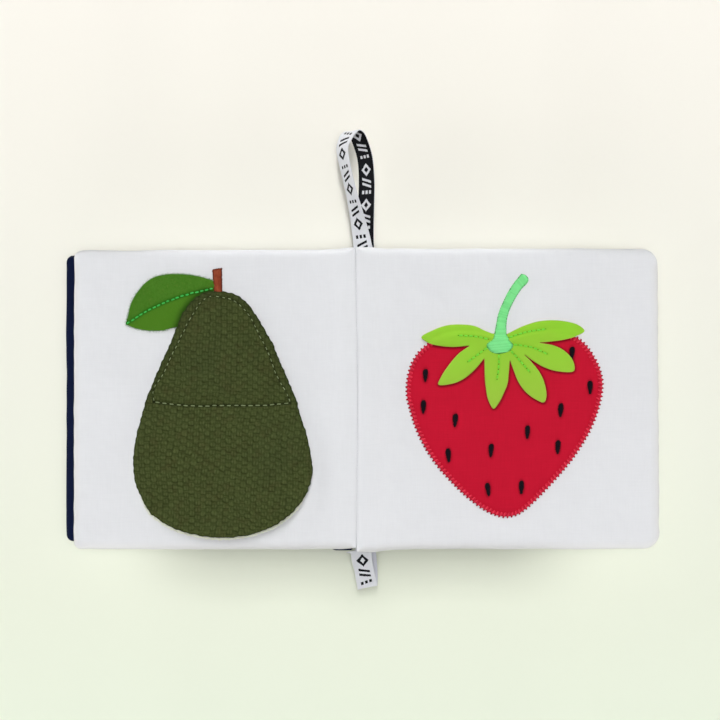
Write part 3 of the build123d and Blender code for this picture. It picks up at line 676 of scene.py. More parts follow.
def thread(name, light, dark, rough=0.5, sheen=0.0, specular=0.25, twist=0.42):
    """Embroidery thread: fine twisted filaments with a soft gloss."""
    s = Shader(name, rough=rough, sheen=sheen, sheen_rough=0.4, specular=specular)
    mm = s.scaled(s.place, (1000.0, 1000.0, 1000.0))
    x, y, z = s.split(mm)
    ply = s.math("SINE", s.math("MULTIPLY", s.math("ADD", s.math("ADD", x, y), s.math("MULTIPLY", z, 1.5)), 2 * math.pi / twist))
    grain = s.noise(0.22, 2.0)
    broad = s.noise(4.0, 2.0)
    share = s.math("ADD", s.math("MULTIPLY", s.range(ply, -1, 1), 0.35),
                   s.math("ADD", s.math("MULTIPLY", grain, 0.35), s.math("MULTIPLY", s.range(broad, 0.3, 0.7), 0.3)))
    s.bump(ply, 0.05, 0.6)
    s.bump(grain, 0.03, 0.5)
    return s.finish(s.mix(share, dark, light))


def calyx_material():
    """Smooth soft leatherette with a fine pebble, paler tan towards its edge and underneath, and pinched veins."""
    s = Shader("calyx_sheet", rough=0.7, specular=0.08)
    pebble = s.node("ShaderNodeTexVoronoi", feature="SMOOTH_F1")
    s.put(pebble.inputs["Vector"], s.place)
    pebble.inputs["Scale"].default_value = 1000.0 / 0.5
    broad = s.noise(18.0, 2.0)
    up = s.range(s.split(s.place)[1], -0.02, 0.019)
    base = s.mix(up, linear("9ac440"), linear("8fd032"))
    base = s.mix(s.math("MULTIPLY", s.range(broad, 0.35, 0.7), 0.35), base, linear("97c03a"))
    base = s.mix(s.math("MULTIPLY", s.held("vein").outputs["Fac"], 0.35), base, linear("70c828"))
    base = s.mix(s.math("MULTIPLY", s.held("cut").outputs["Fac"], 0.9), base, linear("c4a46e"))
    s.bump(pebble.outputs["Distance"], 0.05, 0.35)
    s.bump(s.noise(0.9, 2.0), 0.04, 0.4)
    return s.finish(base)


def strip_material():
    """Brown-red felt strip, darker along its cut sides."""
    s = Shader("brown_strip", rough=0.9, specular=0.08)
    grain = s.node("ShaderNodeTexNoise")
    s.put(grain.inputs["Vector"], s.scaled(s.place, (2600.0, 420.0, 1000.0)))
    grain.inputs["Scale"].default_value = 1.0
    grain.inputs["Detail"].default_value = 3.0
    broad = s.noise(3.4, 2.0)
    base = s.mix(s.math("ADD", s.math("MULTIPLY", s.range(grain.outputs["Fac"], 0.3, 0.7), 0.55), s.math("MULTIPLY", s.range(broad, 0.3, 0.7), 0.45)),
                 linear("6e2a1b"), linear("a35236"))
    base = s.mix(s.held("cut").outputs["Fac"], base, linear("45201a"))
    s.bump(grain.outputs["Fac"], 0.2, 0.6)
    s.bump(s.noise(0.3, 3.0), 0.06, 0.6)
    return s.finish(base)


def tape_material(name, light, dark):
    """Jacquard woven tape: fine ribs across, with every thread a little different."""
    s = Shader(name, rough=0.7, specular=0.15)
    u, v, w = s.split(s.held("weave").outputs["Vector"])
    woven = s.weave(u, v, 0.3)
    rib = s.math("SINE", s.math("MULTIPLY", v, 2 * math.pi / 0.6))
    fibre = s.noise(0.2, 2.0)
    broad = s.noise(5.0, 2.0)
    share = s.math("ADD", s.math("MULTIPLY", woven, 0.4),
                   s.math("ADD", s.math("MULTIPLY", fibre, 0.3), s.math("MULTIPLY", s.range(broad, 0.3, 0.7), 0.3)))
    s.bump(woven, 0.05, 0.8)
    s.bump(rib, 0.02, 0.5)
    return s.finish(s.mix(share, dark, light))


olive_canvas = canvas_material()
leaf_felt = felt("leaf_felt", linear("4e8028"), linear("3a6a16"), vein=linear("146010"), shade=linear("4d7c1c"))
calyx_sheet = calyx_material()
brown_strip = strip_material()
light_thread = thread("light_thread", linear("98a578"), linear("6d7a50"), rough=0.6, specular=0.1)
green_thread = thread("green_thread", linear("58dc68"), linear("2cb446"), rough=0.5, specular=0.15)
# painted light and shade: one red thread as three copies, lit, shaded and in shadow
red_thread = thread("red_thread", linear("ee4058"), linear("da2f48"), rough=0.55, specular=0.1)
red_painted_shade = thread("red_painted_shade", linear("da2a42"), linear("bc1c35"), rough=0.6, specular=0.06)
red_painted_shadow = thread("red_painted_shadow", linear("c62c44"), linear("9a1c34"), rough=0.7, specular=0.04)
lime_thread = thread("lime_thread", linear("87e949"), linear("60d035"), rough=0.55, specular=0.15)
mint_thread = thread("mint_thread", linear("96f5a2"), linear("7ce890"), rough=0.55, specular=0.15)
mint_deep = thread("mint_deep", linear("8fef9b"), linear("75e288"), rough=0.55, specular=0.15)
# painted shade: the stem's core, darker where it shows between and around the satin threads
mint_core_painted_shade = thread("mint_core_painted_shade", linear("4fa65a"), linear("3a8846"), rough=0.8, specular=0.05)
black_thread = thread("black_thread", linear("201722"), linear("0a070d"), rough=0.6, specular=0.08)
# painted shade: the darkness of the calyx's needle holes
hole_painted_shade = thread("hole_painted_shade", linear("1f5a14"), linear("12400c"), rough=0.9, specular=0.02)
tape_white = tape_material("tape_white", linear("e6e7ea"), linear("d2d3da"))
# painted shade: a greyer copy of the white tape, used for the tab's inner layer
tape_painted_shade = tape_material("tape_painted_shade", linear("d4d5de"), linear("c0c1cc"))
tape_black = tape_material("tape_black", linear("12121a"), linear("08080c"))

# ------------------------------------------------------------------ page leaves
crumple = {"left": waves(11, 16, 14, 60), "right": waves(23, 16, 14, 60)}
creases = {"left": waves(12, 14, 5, 14), "right": waves(24, 14, 5, 14)}
swell = waves(5, 6, 60, 160)


def page_z(side, x, y):
    """The upper face of a page leaf: level, with the rise beside the crease and the cloth's own unevenness."""
    x, y = np.asarray(x, float), np.asarray(y, float)
    d = np.abs(x - HINGE_X)
    over = np.maximum(d - 5.0, 0)
    # the rise is a little higher and wider at the head and the foot, where the spine is sewn
    ends = np.clip(np.abs(y + 20) / 76, 0, 1) ** 3
    rise = (3.3 + 0.15 * ends) * np.exp(-(over / (9.5 + 1.5 * ends)) ** 2)
    calm = 1 - 0.5 * np.exp(-(over / 8) ** 2)
    return PAGE_Z + rise - 0.1 + calm * (0.13 * crumple[side](x, y) + 0.035 * creases[side](x, y)) + 0.1 * swell(x, y)


def page_leaf(side, plan, corners, body, node):
    loop = spaced(rounded(plan, corners), 1.25, True)
    loop = ccw(loop)
    out = outward(loop)
    wander = waves({"left": 31, "right": 37}[side], 10, 9, 40)
    faces_in = out[:, 0] * (1 if side == "left" else -1)      # 1 where the outline faces the crease
    inner = smooth_step((faces_in - 0.25) / 0.6)
    loop = loop + out * ((0.1 * wander(loop[:, 0], loop[:, 1]) - 0.06) * (1 - inner))[:, None]
    a = np.radians([4, 9, 16, 25, 36, 48, 61, 75, 90])
    plain_in = 5.3 * (1 - np.cos(a) ** 0.72)
    plain_share = np.sin(a) ** 0.72
    plain_in[-1] = 5.3
    crease_up = (np.array([0.004, 0.2, 0.5, 0.85, 1.25, 1.75, 2.4, 3.5, 5.3]),
                 1 - np.array([0.74, 0.62, 0.45, 0.28, 0.14, 0.06, 0.02, 0.005, 0.0]) / 1.1)
    crease_low = (np.array([0.06, 0.45, 0.85, 1.0, 1.05, 1.05, 1.4, 2.6, 5.3]),
                  np.array([0.05, 0.12, 0.2, 0.3, 0.5, 0.7, 0.86, 0.965, 1.0]))
    n = len(loop)
    upper = [plain_in[:, None] * (1 - inner) + crease_up[0][:, None] * inner,
             plain_share[:, None] * (1 - inner) + crease_up[1][:, None] * inner]
    lower = [plain_in[:, None] * (1 - inner) + crease_low[0][:, None] * inner,
             plain_share[:, None] * (1 - inner) + crease_low[1][:, None] * inner]
    # the seam is drawn in a little along the middle of the outer edges
    loop_out = loop - out * (0.42 * (1 - inner))[:, None]
    upper[0] = upper[0] - 0.42 * (1 - inner) * 1.0
    lower[0] = lower[0] - 0.42 * (1 - inner) * 1.0
    p = Patch(loop_out, upper, lower, pitch=1.5, low_pitch=3.0, most=5.3)
    x, y = p.x(), p.y()
    top = page_z(side, x, y)
    middle = np.full(len(x), 12.4)
    ring = p.column >= 0
    middle[ring] += inner[p.column[ring]] * (20.1 - 12.4)
    # short puckers run in from the seams
    edge = p.edge
    d = np.abs(x - HINGE_X)
    free = smooth_step((d - 6) / 10)
    along = np.where(np.abs(out[np.maximum(p.column, 0), 0]) > 0.7, y, x)
    where_y = np.minimum(np.abs(y - 56), np.abs(y + 95.5)) < np.minimum(np.abs(x + 144.5), np.abs(x - 150))
    s = np.where(where_y, x, y)
    pucker = (np.sin(s * 2 * math.pi / 7.3 + 1.3 * np.sin(s / 9.0)) + 0.6 * np.sin(s * 2 * math.pi / 11.9 + 2.0))
    amount = 0.11 * np.exp(-((edge - 4.5) / 4.5) ** 2) * free
    top = top + pucker * amount
    z = np.where(p.side >= 0, middle + p.share * (top - middle), middle - p.share * (middle - (COVER_T + 0.05)))
    # the crease wanders a little along the book
    x = x + np.interp(y, [-94, -70, -40, -10, 20, 40, 56], [0.0, 0.15, 0.5, 0.5, 0.1, -0.2, -0.45]) * np.exp(-(d / 7) ** 2) * smooth_step((z - 17) / 3)
    handled = np.exp(-(edge / 2.6) ** 2) * (1 - inner[np.maximum(p.column, 0)]) * (p.column >= 0) * (1 - smooth_step((y - 44) / 8))      # painted shade: the outer edges greyed a little, not at the head or beside the crease
    obj = mesh(side + "_leaf_cloth", np.stack([x, y, z], 1), p.faces, white_cotton, body, [node], "white_cotton", handled=handled)
    return obj


left_leaf = page_leaf("left", LEFT_PLAN, LEFT_CORNERS, FRONT, "left_leaf")
right_leaf = page_leaf("right", RIGHT_PLAN, RIGHT_CORNERS, BACK, "right_leaf")


# ------------------------------------------------------------------ covers
def cover(side, body, node):
    hand = -1 if side == "front" else 1
    far = -150.0 if side == "front" else 144.9
    near = HINGE_X + hand * 1.7
    plan = [(far, 53.2), (near, 53.2), (near, -92.5), (far, -92.5)]
    corners = [3.6, 1.5, 1.5, 3.6]
    loop = ccw(spaced(rounded(plan, corners), 1.2, True))
    out = outward(loop)
    wander = waves(41 if side == "front" else 43, 10, 10, 45)
    loop = loop + out * (0.07 * wander(loop[:, 0], loop[:, 1]) - 0.02)[:, None]
    if side == "front":
        # at the foot of the spine its cloth shows past the page
        near_foot = smooth_step((loop[:, 0] + 21.5) / 9.0) * smooth_step((-loop[:, 1] - 85) / 6)
        loop[:, 1] -= 4.5 * near_foot
    a = np.radians([10, 22, 36, 50, 64, 77, 90])
    inset, share = 3.2 * (1 - np.cos(a)), np.sin(a)
    inset[0] = 0.02
    p = Patch(loop - out * 0.1, (inset, share), None, pitch=2.2, low_pitch=2.0, most=3.2)
    x, y = p.x(), p.y()
    low = 0.02 + 0.5 * np.exp(-(np.maximum(np.abs(x - HINGE_X) - 4, 0) / 3.0) ** 2) + 0.04 * (1 + wander(x * 1.7, y * 1.7)) * smooth_step(p.edge / 12)
    high = 6.93
    z = np.where(p.side >= 0, 3.5 + p.share * (high - 3.5), 3.5 - p.share * (3.5 - np.maximum(low, 0.02)))
    obj = mesh(node + "_cloth", np.stack([x, y, z], 1), p.faces, navy_cotton, body, [node], "navy_cotton")
    return obj


front_cover = cover("front", FRONT, "front_cover")
back_cover = cover("back", BACK, "back_cover")

# Cover cloth across the spine: hemmed onto both covers' undersides and folded up between the halves
side_path = [(-7.5, 0.3), (-6.0, 0.32), (-4.8, 0.5), (-3.6, 1.0), (-2.5, 1.8), (-1.75, 2.8), (-1.3, 4.0), (-1.12, 5.2),
             (-1.0, 7.0), (-0.85, 9.5), (-0.72, 12.0), (-0.58, 14.5), (-0.42, 16.0), (-0.2, 16.75), (0.0, 16.9)]
half = spaced(curved(side_path, each=16), 0.45)
section = np.vstack([half, (half * [-1, 1])[-2::-1]])
rows = np.linspace(-92.2, 52.85, 118)
spine_grid = np.empty((len(rows), len(section), 3))
spine_grid[:, :, 0] = HINGE_X + section[None, :, 0]
middle_y = (rows[0] + rows[-1]) / 2
drawn_in = 0.4 + 2.5 * smooth_step((2.9 - section[None, :, 1]) / 2.5)      # the hems end short of the covers' rounded ends
spine_grid[:, :, 1] = (rows[:, None] - drawn_in * (rows[:, None] - middle_y) / (rows[-1] - middle_y)
                       + 0.12 * np.sin(section[None, :, 1] * 1.3)
                       - 4.0 * smooth_step((-rows[:, None] - 86) / 6) * smooth_step((6.8 - section[None, :, 1]) / 3)
                       * smooth_step((0.3 - section[None, :, 0]) / 0.6))
spine_grid[:, :, 2] = section[None, :, 1] + 0.05 * np.sin(rows[:, None] / 2.3) * smooth_step((section[None, :, 1] - 3) / 6)
mid_y = (spine_grid[:-1, :-1, 1] + spine_grid[1:, 1:, 1]) / 2
mid_z = (spine_grid[:-1, :-1, 2] + spine_grid[1:, 1:, 2]) / 2
slit = (mid_z > 6.6) & (mid_z < 9.2) & ((mid_y > 49.0) | (mid_y < -88.6))
verts, nrm, faces, cells, sides = shell(spine_grid, 0.5, ~slit)
verts, faces, used = tidy(verts, faces)
spine = mesh("spine_cloth", verts, faces, navy_cotton, None, ["spine_strip"], "navy_cotton")
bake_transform(spine)

# ------------------------------------------------------------------ avocado
BLOCK, BLOCK_HIGH = 2.83, 1.82       # a pair of upright yarns across, and a pair of crosswise ones
bend = waves(61, 8, 18, 70)
bend2 = waves(62, 8, 18, 70)
uneven = waves(63, 10, 2.5, 7)


def chance(i, j, salt):
    """A number from 0 to 1 that belongs to one cell of the weave."""
    h = np.sin(i * 12.9898 + j * 78.233 + salt * 37.719) * 43758.5453
    return h - np.floor(h)


def basket(x, y):
    """The basket weave at a point: height from 0 to 1, the place across and along the yarn on top, and how deep it
    lies in one of the short dark gaps, whose darkness is painted shade. Pairs of upright yarns run over the crosswise
    pairs, stand proud of them and reach a little past their own cell; the gaps lie at their ends, darkest at the lower
    ends, away from the light, and down one side or the other."""
    turn = math.radians(-3.0)
    u = (x * math.cos(turn) + y * math.sin(turn) + 0.6 * bend(x, y) + 0.1 * uneven(x, y)) / BLOCK
    v = (-x * math.sin(turn) + y * math.cos(turn) + 0.5 * bend2(x, y) + 0.11 * uneven(y, x)) / BLOCK_HIGH
    iu, iv = np.floor(u), np.floor(v)
    fu, fv = u - iu, v - iv
    own = ((iu + iv) % 2) < 1
    past_low = 0.1 + 0.14 * chance(iu, iv - 1, 1)        # reach of the pair below into this cell
    past_high = 0.1 + 0.14 * chance(iu, iv + 1, 1)
    below, above = ~own & (fv < past_low), ~own & (fv > 1 - past_high)
    upright = own | below | above
    jv = np.where(below, iv - 1, np.where(above, iv + 1, iv))
    past = 0.1 + 0.14 * chance(iu, jv, 1)
    t = (v - jv + past) / (1 + 2 * past)
    jig = chance(iu, jv, 2)
    pair = np.abs(np.sin(2 * np.pi * fu)) ** 0.55
    flank = np.clip(np.sin(np.pi * fu) * 4.0, 0, 1)
    arch = np.sin(np.pi * np.clip(t, 0.02, 0.98)) ** 0.4
    single = np.where(fu < 0.5, chance(iu, jv, 7), chance(iu, jv, 8))
    proud = (0.74 + 0.14 * jig + 0.12 * single) * (0.74 + 0.26 * pair) * (0.76 + 0.24 * flank) * (0.56 + 0.44 * arch)
    q = np.clip((fv - past_low) / (1 - past_low - past_high), 0, 1)
    pair2 = np.abs(np.sin(2 * np.pi * q)) ** 0.7
    arch2 = np.sin(np.pi * np.clip(fu, 0.02, 0.98)) ** 0.35
    single2 = np.where(q < 0.5, chance(iu, iv, 9), chance(iu, iv, 10))
    low = (0.5 + 0.14 * chance(iu, iv, 3) + 0.12 * single2) * (0.74 + 0.26 * pair2) * (0.76 + 0.24 * arch2)
    # gaps: painted shade, darkest at the yarns' lower ends, away from the light
    foot = (0.3 + 0.7 * chance(iu, jv, 4)) * np.exp(-(t / 0.1) ** 2)
    head = (0.1 + 0.55 * chance(iu, jv, 5)) * np.exp(-((1 - t) / 0.09) ** 2)
    gap_up = np.where(upright, np.maximum(foot, head), 0)
    foot2 = (0.3 + 0.7 * chance(iu, iv + 1, 4)) * np.exp(-((1 - q) / 0.2) ** 2)
    head2 = (0.1 + 0.55 * chance(iu, iv - 1, 5)) * np.exp(-(q / 0.18) ** 2)
    gap_low = np.where(upright, 0, np.maximum(foot2, head2))
    ku = np.where(fu < 0.5, iu, iu + 1)                   # the boundary between two columns, and who owns it
    side_gap = np.abs(u - ku) * BLOCK
    side = 0.08 + 0.7 * chance(ku, np.where(upright, jv, iv), 6) ** 1.6
    kv = np.round(v)
    hole = np.hypot((u - ku) * BLOCK / 0.42, (v - kv) * BLOCK_HIGH / 0.5)
    corner = (0.3 + 0.7 * chance(ku, kv, 12)) * np.exp(-hole ** 2)
    gap_side = side * np.exp(-(side_gap / 0.23) ** 2)
    between = np.where(upright, (0.22 + 0.6 * chance(iu, jv, 11) ** 1.5) * np.exp(-((fu - 0.5) / 0.075) ** 2), 0)
    gap = np.clip(np.maximum.reduce([gap_up, gap_low, gap_side, between, corner]), 0, 1)
    height = np.where(upright, proud, low) * (1 - 0.35 * gap) - 0.055 * np.cos(np.pi * (u + v))      # the floats tilt a little
    return height, np.where(upright, fu, q) * 2, np.where(upright, t, fu) * 2, gap


def canvas_lift(x, y):
    """How far the canvas stands off the page: sewn down above the fold, lifting towards the free end below it."""
    down = np.clip((FOLD_Y - y) / 65.0, 0, 1)
    wavy = 0.28 * np.sin((x + 70) / 15.0) * smooth_step((FOLD_Y - 20 - y) / 45)
    return 2.5 * smooth_step(down) * 0.55 + 2.5 * down * 0.45 + wavy


def open_line_distance(points, line):
    a, b = line[:-1], line[1:]
    d = b - a
    dd = np.maximum((d * d).sum(1), 1e-12)
    found = np.empty(len(points))
    for s in range(0, len(points), 4000):
        p = points[s:s + 4000, None, :]
        t = np.clip(((p - a) * d).sum(2) / dd, 0, 1)
        gap = p - (a + t[..., None] * d)
        found[s:s + 4000] = np.sqrt((gap * gap).sum(2).min(1))
    return found


fold_dense = spaced(curved(FOLD_LINE), 1.2)
seam_dense = spaced(curved(UPPER_SEAM), 1.2)


def canvas_face(x, y):
    points = np.stack([np.ravel(x), np.ravel(y)], 1)
    fold_gap = open_line_distance(points, fold_dense).reshape(np.shape(x))
    seam_gap = open_line_distance(points, seam_dense).reshape(np.shape(x))
    groove = 0.45 * np.exp(-(fold_gap / 1.1) ** 2) + 0.22 * np.exp(-(seam_gap / 0.8) ** 2)
    puff = 0.3 * smooth_step(np.minimum(fold_gap, seam_gap + 1.0) / 5.0)
    return page_z("left", x, y) + 1.35 + canvas_lift(x, y) - groove + puff


avocado_loop = ccw(spaced(curved(AVOCADO, True), 0.42, True))
height, _, _, _ = basket(avocado_loop[:, 0], avocado_loop[:, 1])
avocado_loop = avocado_loop + outward(avocado_loop) * (0.34 * (height - 0.5) + 0.12 * uneven(avocado_loop[:, 0], avocado_loop[:, 1]))[:, None]
inset = np.array([0.04, 0.14, 0.32, 0.58, 0.92, 1.35])
share = np.array([0.34, 0.58, 0.78, 0.9, 0.97, 1.0])
p = Patch(avocado_loop, (inset, share), None, pitch=0.345, low_pitch=2.4, most=1.35)
x, y = p.x(), p.y()
face = canvas_face(x, y)
under = page_z("left", x, y) + 0.12 + canvas_lift(x, y)
# gap is the painted shade of the weave's gaps; height also sets the painted relief shading
height, across, along, gap = basket(x, y)
rim = smooth_step(p.edge / 1.2)
middle = under + 0.75
turned = 0.22 * np.exp(-((p.edge - 2.2) / 2.0) ** 2)
top = face + turned + (height - 0.5) * 0.7 * (0.35 + 0.65 * rim)
z = np.where(p.side >= 0, middle + p.share * (top - middle), middle - p.share * (middle - under))
yarn = np.stack([across, along, height], 1)
# rim and ditch carry painted shade at the upper rim, along the fold and seam stitching and at the edge
canvas = mesh("avocado_canvas_cloth", np.stack([x, y, z], 1), p.faces, olive_canvas, FRONT, ["avocado_canvas"],
              "olive_canvas", lift=np.where(p.side >= 0, height, 0.35), yarn=yarn, gap=np.where(p.side >= 0, gap, 0.0),
              rim=np.exp(-(p.edge / 1.9) ** 2) * smooth_step((y + 40) / 30),
              ditch=np.clip(np.exp(-(open_line_distance(p.plan, fold_dense) / 0.62) ** 2)
                            + 0.8 * np.exp(-(open_line_distance(p.plan, seam_dense) / 0.5) ** 2)
                            + 0.75 * np.exp(-(p.edge / 0.5) ** 2), 0, 1))
flat_area = area_of(ccw(curved(AVOCADO, True)))


# The flap's lining: a cream cloth whose bumpy turned edge shows past the canvas
shown = ccw(spaced(curved(AVOCADO, True), 0.4, True))
out = outward(shown)
low_end = smooth_step((-60.0 - shown[:, 1]) / 18.0)
run = np.arange(len(shown)) * 0.4
bumps = 0.34 * np.abs(np.sin(run * math.pi / 1.7)) + 0.12 * uneven(shown[:, 0] * 1.7, shown[:, 1] * 1.7)
line = shown + out * (-0.5 + low_end * 1.5 + bumps * (0.3 + 0.7 * low_end))[:, None]
line = line[line[:, 1] < FOLD_Y - 8]
first = int(np.argmax(np.linalg.norm(np.roll(line, -1, 0) - line, axis=1))) + 1
line = np.roll(line, -first, 0)
bridge = np.linspace(line[-1], line[0], 140)[1:-1]
lining_loop = np.vstack([line, bridge])
inset = np.array([0.04, 0.16, 0.36, 0.62, 0.95])
share = np.array([0.4, 0.7, 0.9, 1.0, 1.0])
p = Patch(lining_loop, (inset, share), None, pitch=1.6, low_pitch=1.6, most=0.95)
x, y = p.x(), p.y()
beads = np.zeros(len(x))
ring = p.column >= 0
col_run = np.arange(len(lining_loop)) * 0.4
beads[ring] = np.abs(np.sin(col_run[p.column[ring]] * math.pi / 1.7))
roof = page_z("left", x, y) + 0.1 + canvas_lift(x, y)
base = np.maximum(roof - 0.85, page_z("left", x, y) + 0.1)
roof = np.maximum(roof, base + 0.3)
middle = (roof + base) / 2
swell_rim = 0.4 * beads * np.exp(-((p.edge - 0.35) / 0.5) ** 2) * ring
z = np.where(p.side >= 0, middle + p.share * (roof - middle) + swell_rim, middle - p.share * (middle - base) - swell_rim * 0.6)
lining = mesh("flap_lining_cloth", np.stack([x, y, z], 1), p.faces, cream_lining, FRONT, ["avocado_flap_lining"], "cream_lining")
lining_area = area_of(ccw(lining_loop))

# Felt leaf
leaf_line = np.vstack([curved(LEAF_TOP), curved([LEAF_TOP[-1]] + LEAF_END + [LEAF_FOOT[0]])[1:], curved(LEAF_FOOT)[1:-1]])
leaf_loop = ccw(spaced(leaf_line, 0.55, True))
vein_dense = spaced(curved(LEAF_VEIN), 0.8)
inset = np.array([0.03, 0.12, 0.28, 0.5])
share = np.array([0.5, 0.8, 0.96, 1.0])
p = Patch(leaf_loop, (inset, share), None, pitch=0.7, low_pitch=2.0, most=0.5)
x, y = p.x(), p.y()
vein_gap = open_line_distance(p.plan, vein_dense)
inside_avocado = within(p.plan, ccw(spaced(curved(AVOCADO, True), 1.0, True)))
tuck = np.where(inside_avocado, -0.55, 0.0)
fuzz = waves(71, 12, 1.6, 4.0)
top = page_z("left", x, y) + 1.12 + 0.05 * fuzz(x, y) - 0.42 * np.exp(-(vein_gap / 0.9) ** 2) + 0.22 * smooth_step(p.edge / 4) * smooth_step(vein_gap / 5) + tuck
under = page_z("left", x, y) + 0.05
middle = under + 0.5
z = np.where(p.side >= 0, middle + p.share * (top - middle), middle - p.share * (middle - under))
vx = np.interp(x, vein_dense[:, 0], vein_dense[:, 1])
vein = 0.9 * np.exp(-(vein_gap / 0.85) ** 2)
half = smooth_step((vx - y) / 1.2)
hair_rng = np.random.default_rng(17)
rim_out = outward(leaf_loop)
hairs = []
for k in hair_rng.integers(0, len(leaf_loop), 900):
    lean = hair_rng.normal(0, 0.9)
    d = np.array([rim_out[k, 0] * math.cos(lean) - rim_out[k, 1] * math.sin(lean),
                  rim_out[k, 0] * math.sin(lean) + rim_out[k, 1] * math.cos(lean)])
    size = hair_rng.uniform(0.35, 1.0)
    t = np.linspace(-0.25, 1, 4)
    bow = np.array([-d[1], d[0]]) * hair_rng.normal(0, 0.25)
    xy = leaf_loop[k] + hair_rng.normal(0, 0.1, 2) + d * size * t[:, None] + bow * (t[:, None] ** 2) * size
    hairs.append(np.column_stack([xy, page_z("left", xy[:, 0], xy[:, 1]) + hair_rng.uniform(0.3, 1.05) + 0 * t]))
hair_v, hair_f = tubes(hairs, 0.035, 0.035, 3, 1)
body_n = len(x)
verts = np.vstack([np.stack([x, y, z], 1), hair_v])
# near carries the painted shadow on the leaf beside the avocado
leaf = mesh("avocado_leaf_felt", verts, p.faces + [f + body_n for f in hair_f], leaf_felt, FRONT, ["avocado_leaf"],
            "leaf_felt", vein=np.concatenate([vein, np.zeros(len(hair_v))]), half=np.concatenate([half, np.ones(len(hair_v))]),
            near=np.concatenate([np.exp(-(nearest(p.plan, ccw(spaced(curved(AVOCADO, True), 1.0, True))) / 2.0) ** 2), np.zeros(len(hair_v))]))


def felt_face(x, y):
    return page_z("left", x, y) + 1.12 - 0.42


verts, faces = stitches(LEAF_VEIN[:-1] + [(-73.6, 35.8)], 2.45, 1.75, 0.76, 0.56, felt_face, jitter=0.1, seed=5)
mesh("leaf_vein_thread", verts, faces, green_thread, FRONT, ["leaf_vein_stitch"], "green_thread")

# Stem strip
strip_loop = ccw(spaced(rounded(STEM_STRIP, [0.3, 3, 0.3, 0.3, 0.3]), 0.35, True))
ragged = waves(73, 10, 0.7, 2.0)
strip_loop = strip_loop + outward(strip_loop) * (0.07 * ragged(strip_loop[:, 0], strip_loop[:, 1]) * (1 + 0.8 * (strip_loop[:, 1] > 45)))[:, None]
inset = np.array([0.05, 0.18, 0.4, 0.7])
share = np.array([0.45, 0.78, 0.95, 1.0])
p = Patch(strip_loop, (inset, share), None, pitch=0.4, low_pitch=0.8, most=0.7)
x, y = p.x(), p.y()
crown = 0.35 * smooth_step(p.edge / 2.2)
tuck = -0.35 * smooth_step((34.8 - y) / 2.0)
top = page_z("left", x, y) + 1.15 + crown + tuck + 0.05 * ragged(x, y)
under = page_z("left", x, y) + 0.05
middle = under + 0.5
z = np.where(p.side >= 0, middle + p.share * (top - middle), middle - p.share * (middle - under))
cut = np.clip(np.exp(-(p.edge / 0.5) ** 2), 0, 1)
strip = mesh("avocado_stem_strip", np.stack([x, y, z], 1), p.faces, brown_strip, FRONT, ["avocado_stem"], "brown_strip", cut=cut)


def topstitch_face(x, y):
    return canvas_face(x, y) + 0.04


v1, f1 = stitches(FOLD_LINE, 3.6, 2.3, 0.6, 0.5, topstitch_face, jitter=0.1, seed=7)
v2, f2 = stitches(UPPER_SEAM, 3.15, 1.75, 0.47, 0.46, topstitch_face, jitter=0.12, seed=8)
verts = np.vstack([v1, v2])
faces = f1 + [f + len(v1) for f in f2]
mesh("avocado_topstitch_thread", verts, faces, light_thread, FRONT, ["avocado_topstitch"], "light_thread")

# ------------------------------------------------------------------ strawberry
berry_edge = ccw(spaced(curved(STRAWBERRY, True), 0.6, True))
berry_loop = berry_edge - outward(berry_edge) * 0.22
inset = np.array([0.03, 0.12, 0.28, 0.5])
share = np.array([0.5, 0.8, 0.96, 1.0])
parts = [curved(lobe)[:-1] for lobe in CALYX_LOBES]
calyx_loop = ccw(spaced(np.vstack(parts + [np.array([CALYX_LOBES[-1][-1]])]), 0.45, True))
p = Patch(berry_loop, (inset, share), None, pitch=0.55, low_pitch=2.5, most=0.5)
x, y = p.x(), p.y()
ripple = waves(81, 12, 9, 30)
seed_gap = np.full(len(x), 99.0)
for sx, sy in SEEDS:
    seed_gap = np.minimum(seed_gap, np.hypot((x - sx) / 1.35, (y - sy) / 3.2))
berry_rise = lambda x, y, e: 0.55 + 0.45 * smooth_step((e - 2.0) / 5.0) + 0.05 * ripple(x, y)
top = page_z("right", x, y) + berry_rise(x, y, p.edge) - 0.16 * np.exp(-((seed_gap - 1.0) / 0.5) ** 2)
under = page_z("right", x, y) + 0.04
middle = under + 0.25
z = np.where(p.side >= 0, middle + p.share * (top - middle), middle - p.share * (middle - under))
# painted shadow on the berry cloth below and right of the calyx's edge, and round the seeds
near_calyx = nearest(p.plan + np.array([-0.25, 0.3]), calyx_loop)
berry = mesh("strawberry_body_cloth", np.stack([x, y, z], 1), p.faces, red_cotton, BACK, ["strawberry_body"], "red_cotton",
             crease=np.clip(np.exp(-(near_calyx / 0.75) ** 2) + 0.6 * np.exp(-(np.maximum(seed_gap - 1.0, 0) / 0.35) ** 2), 0, 1) * (p.side >= 0))

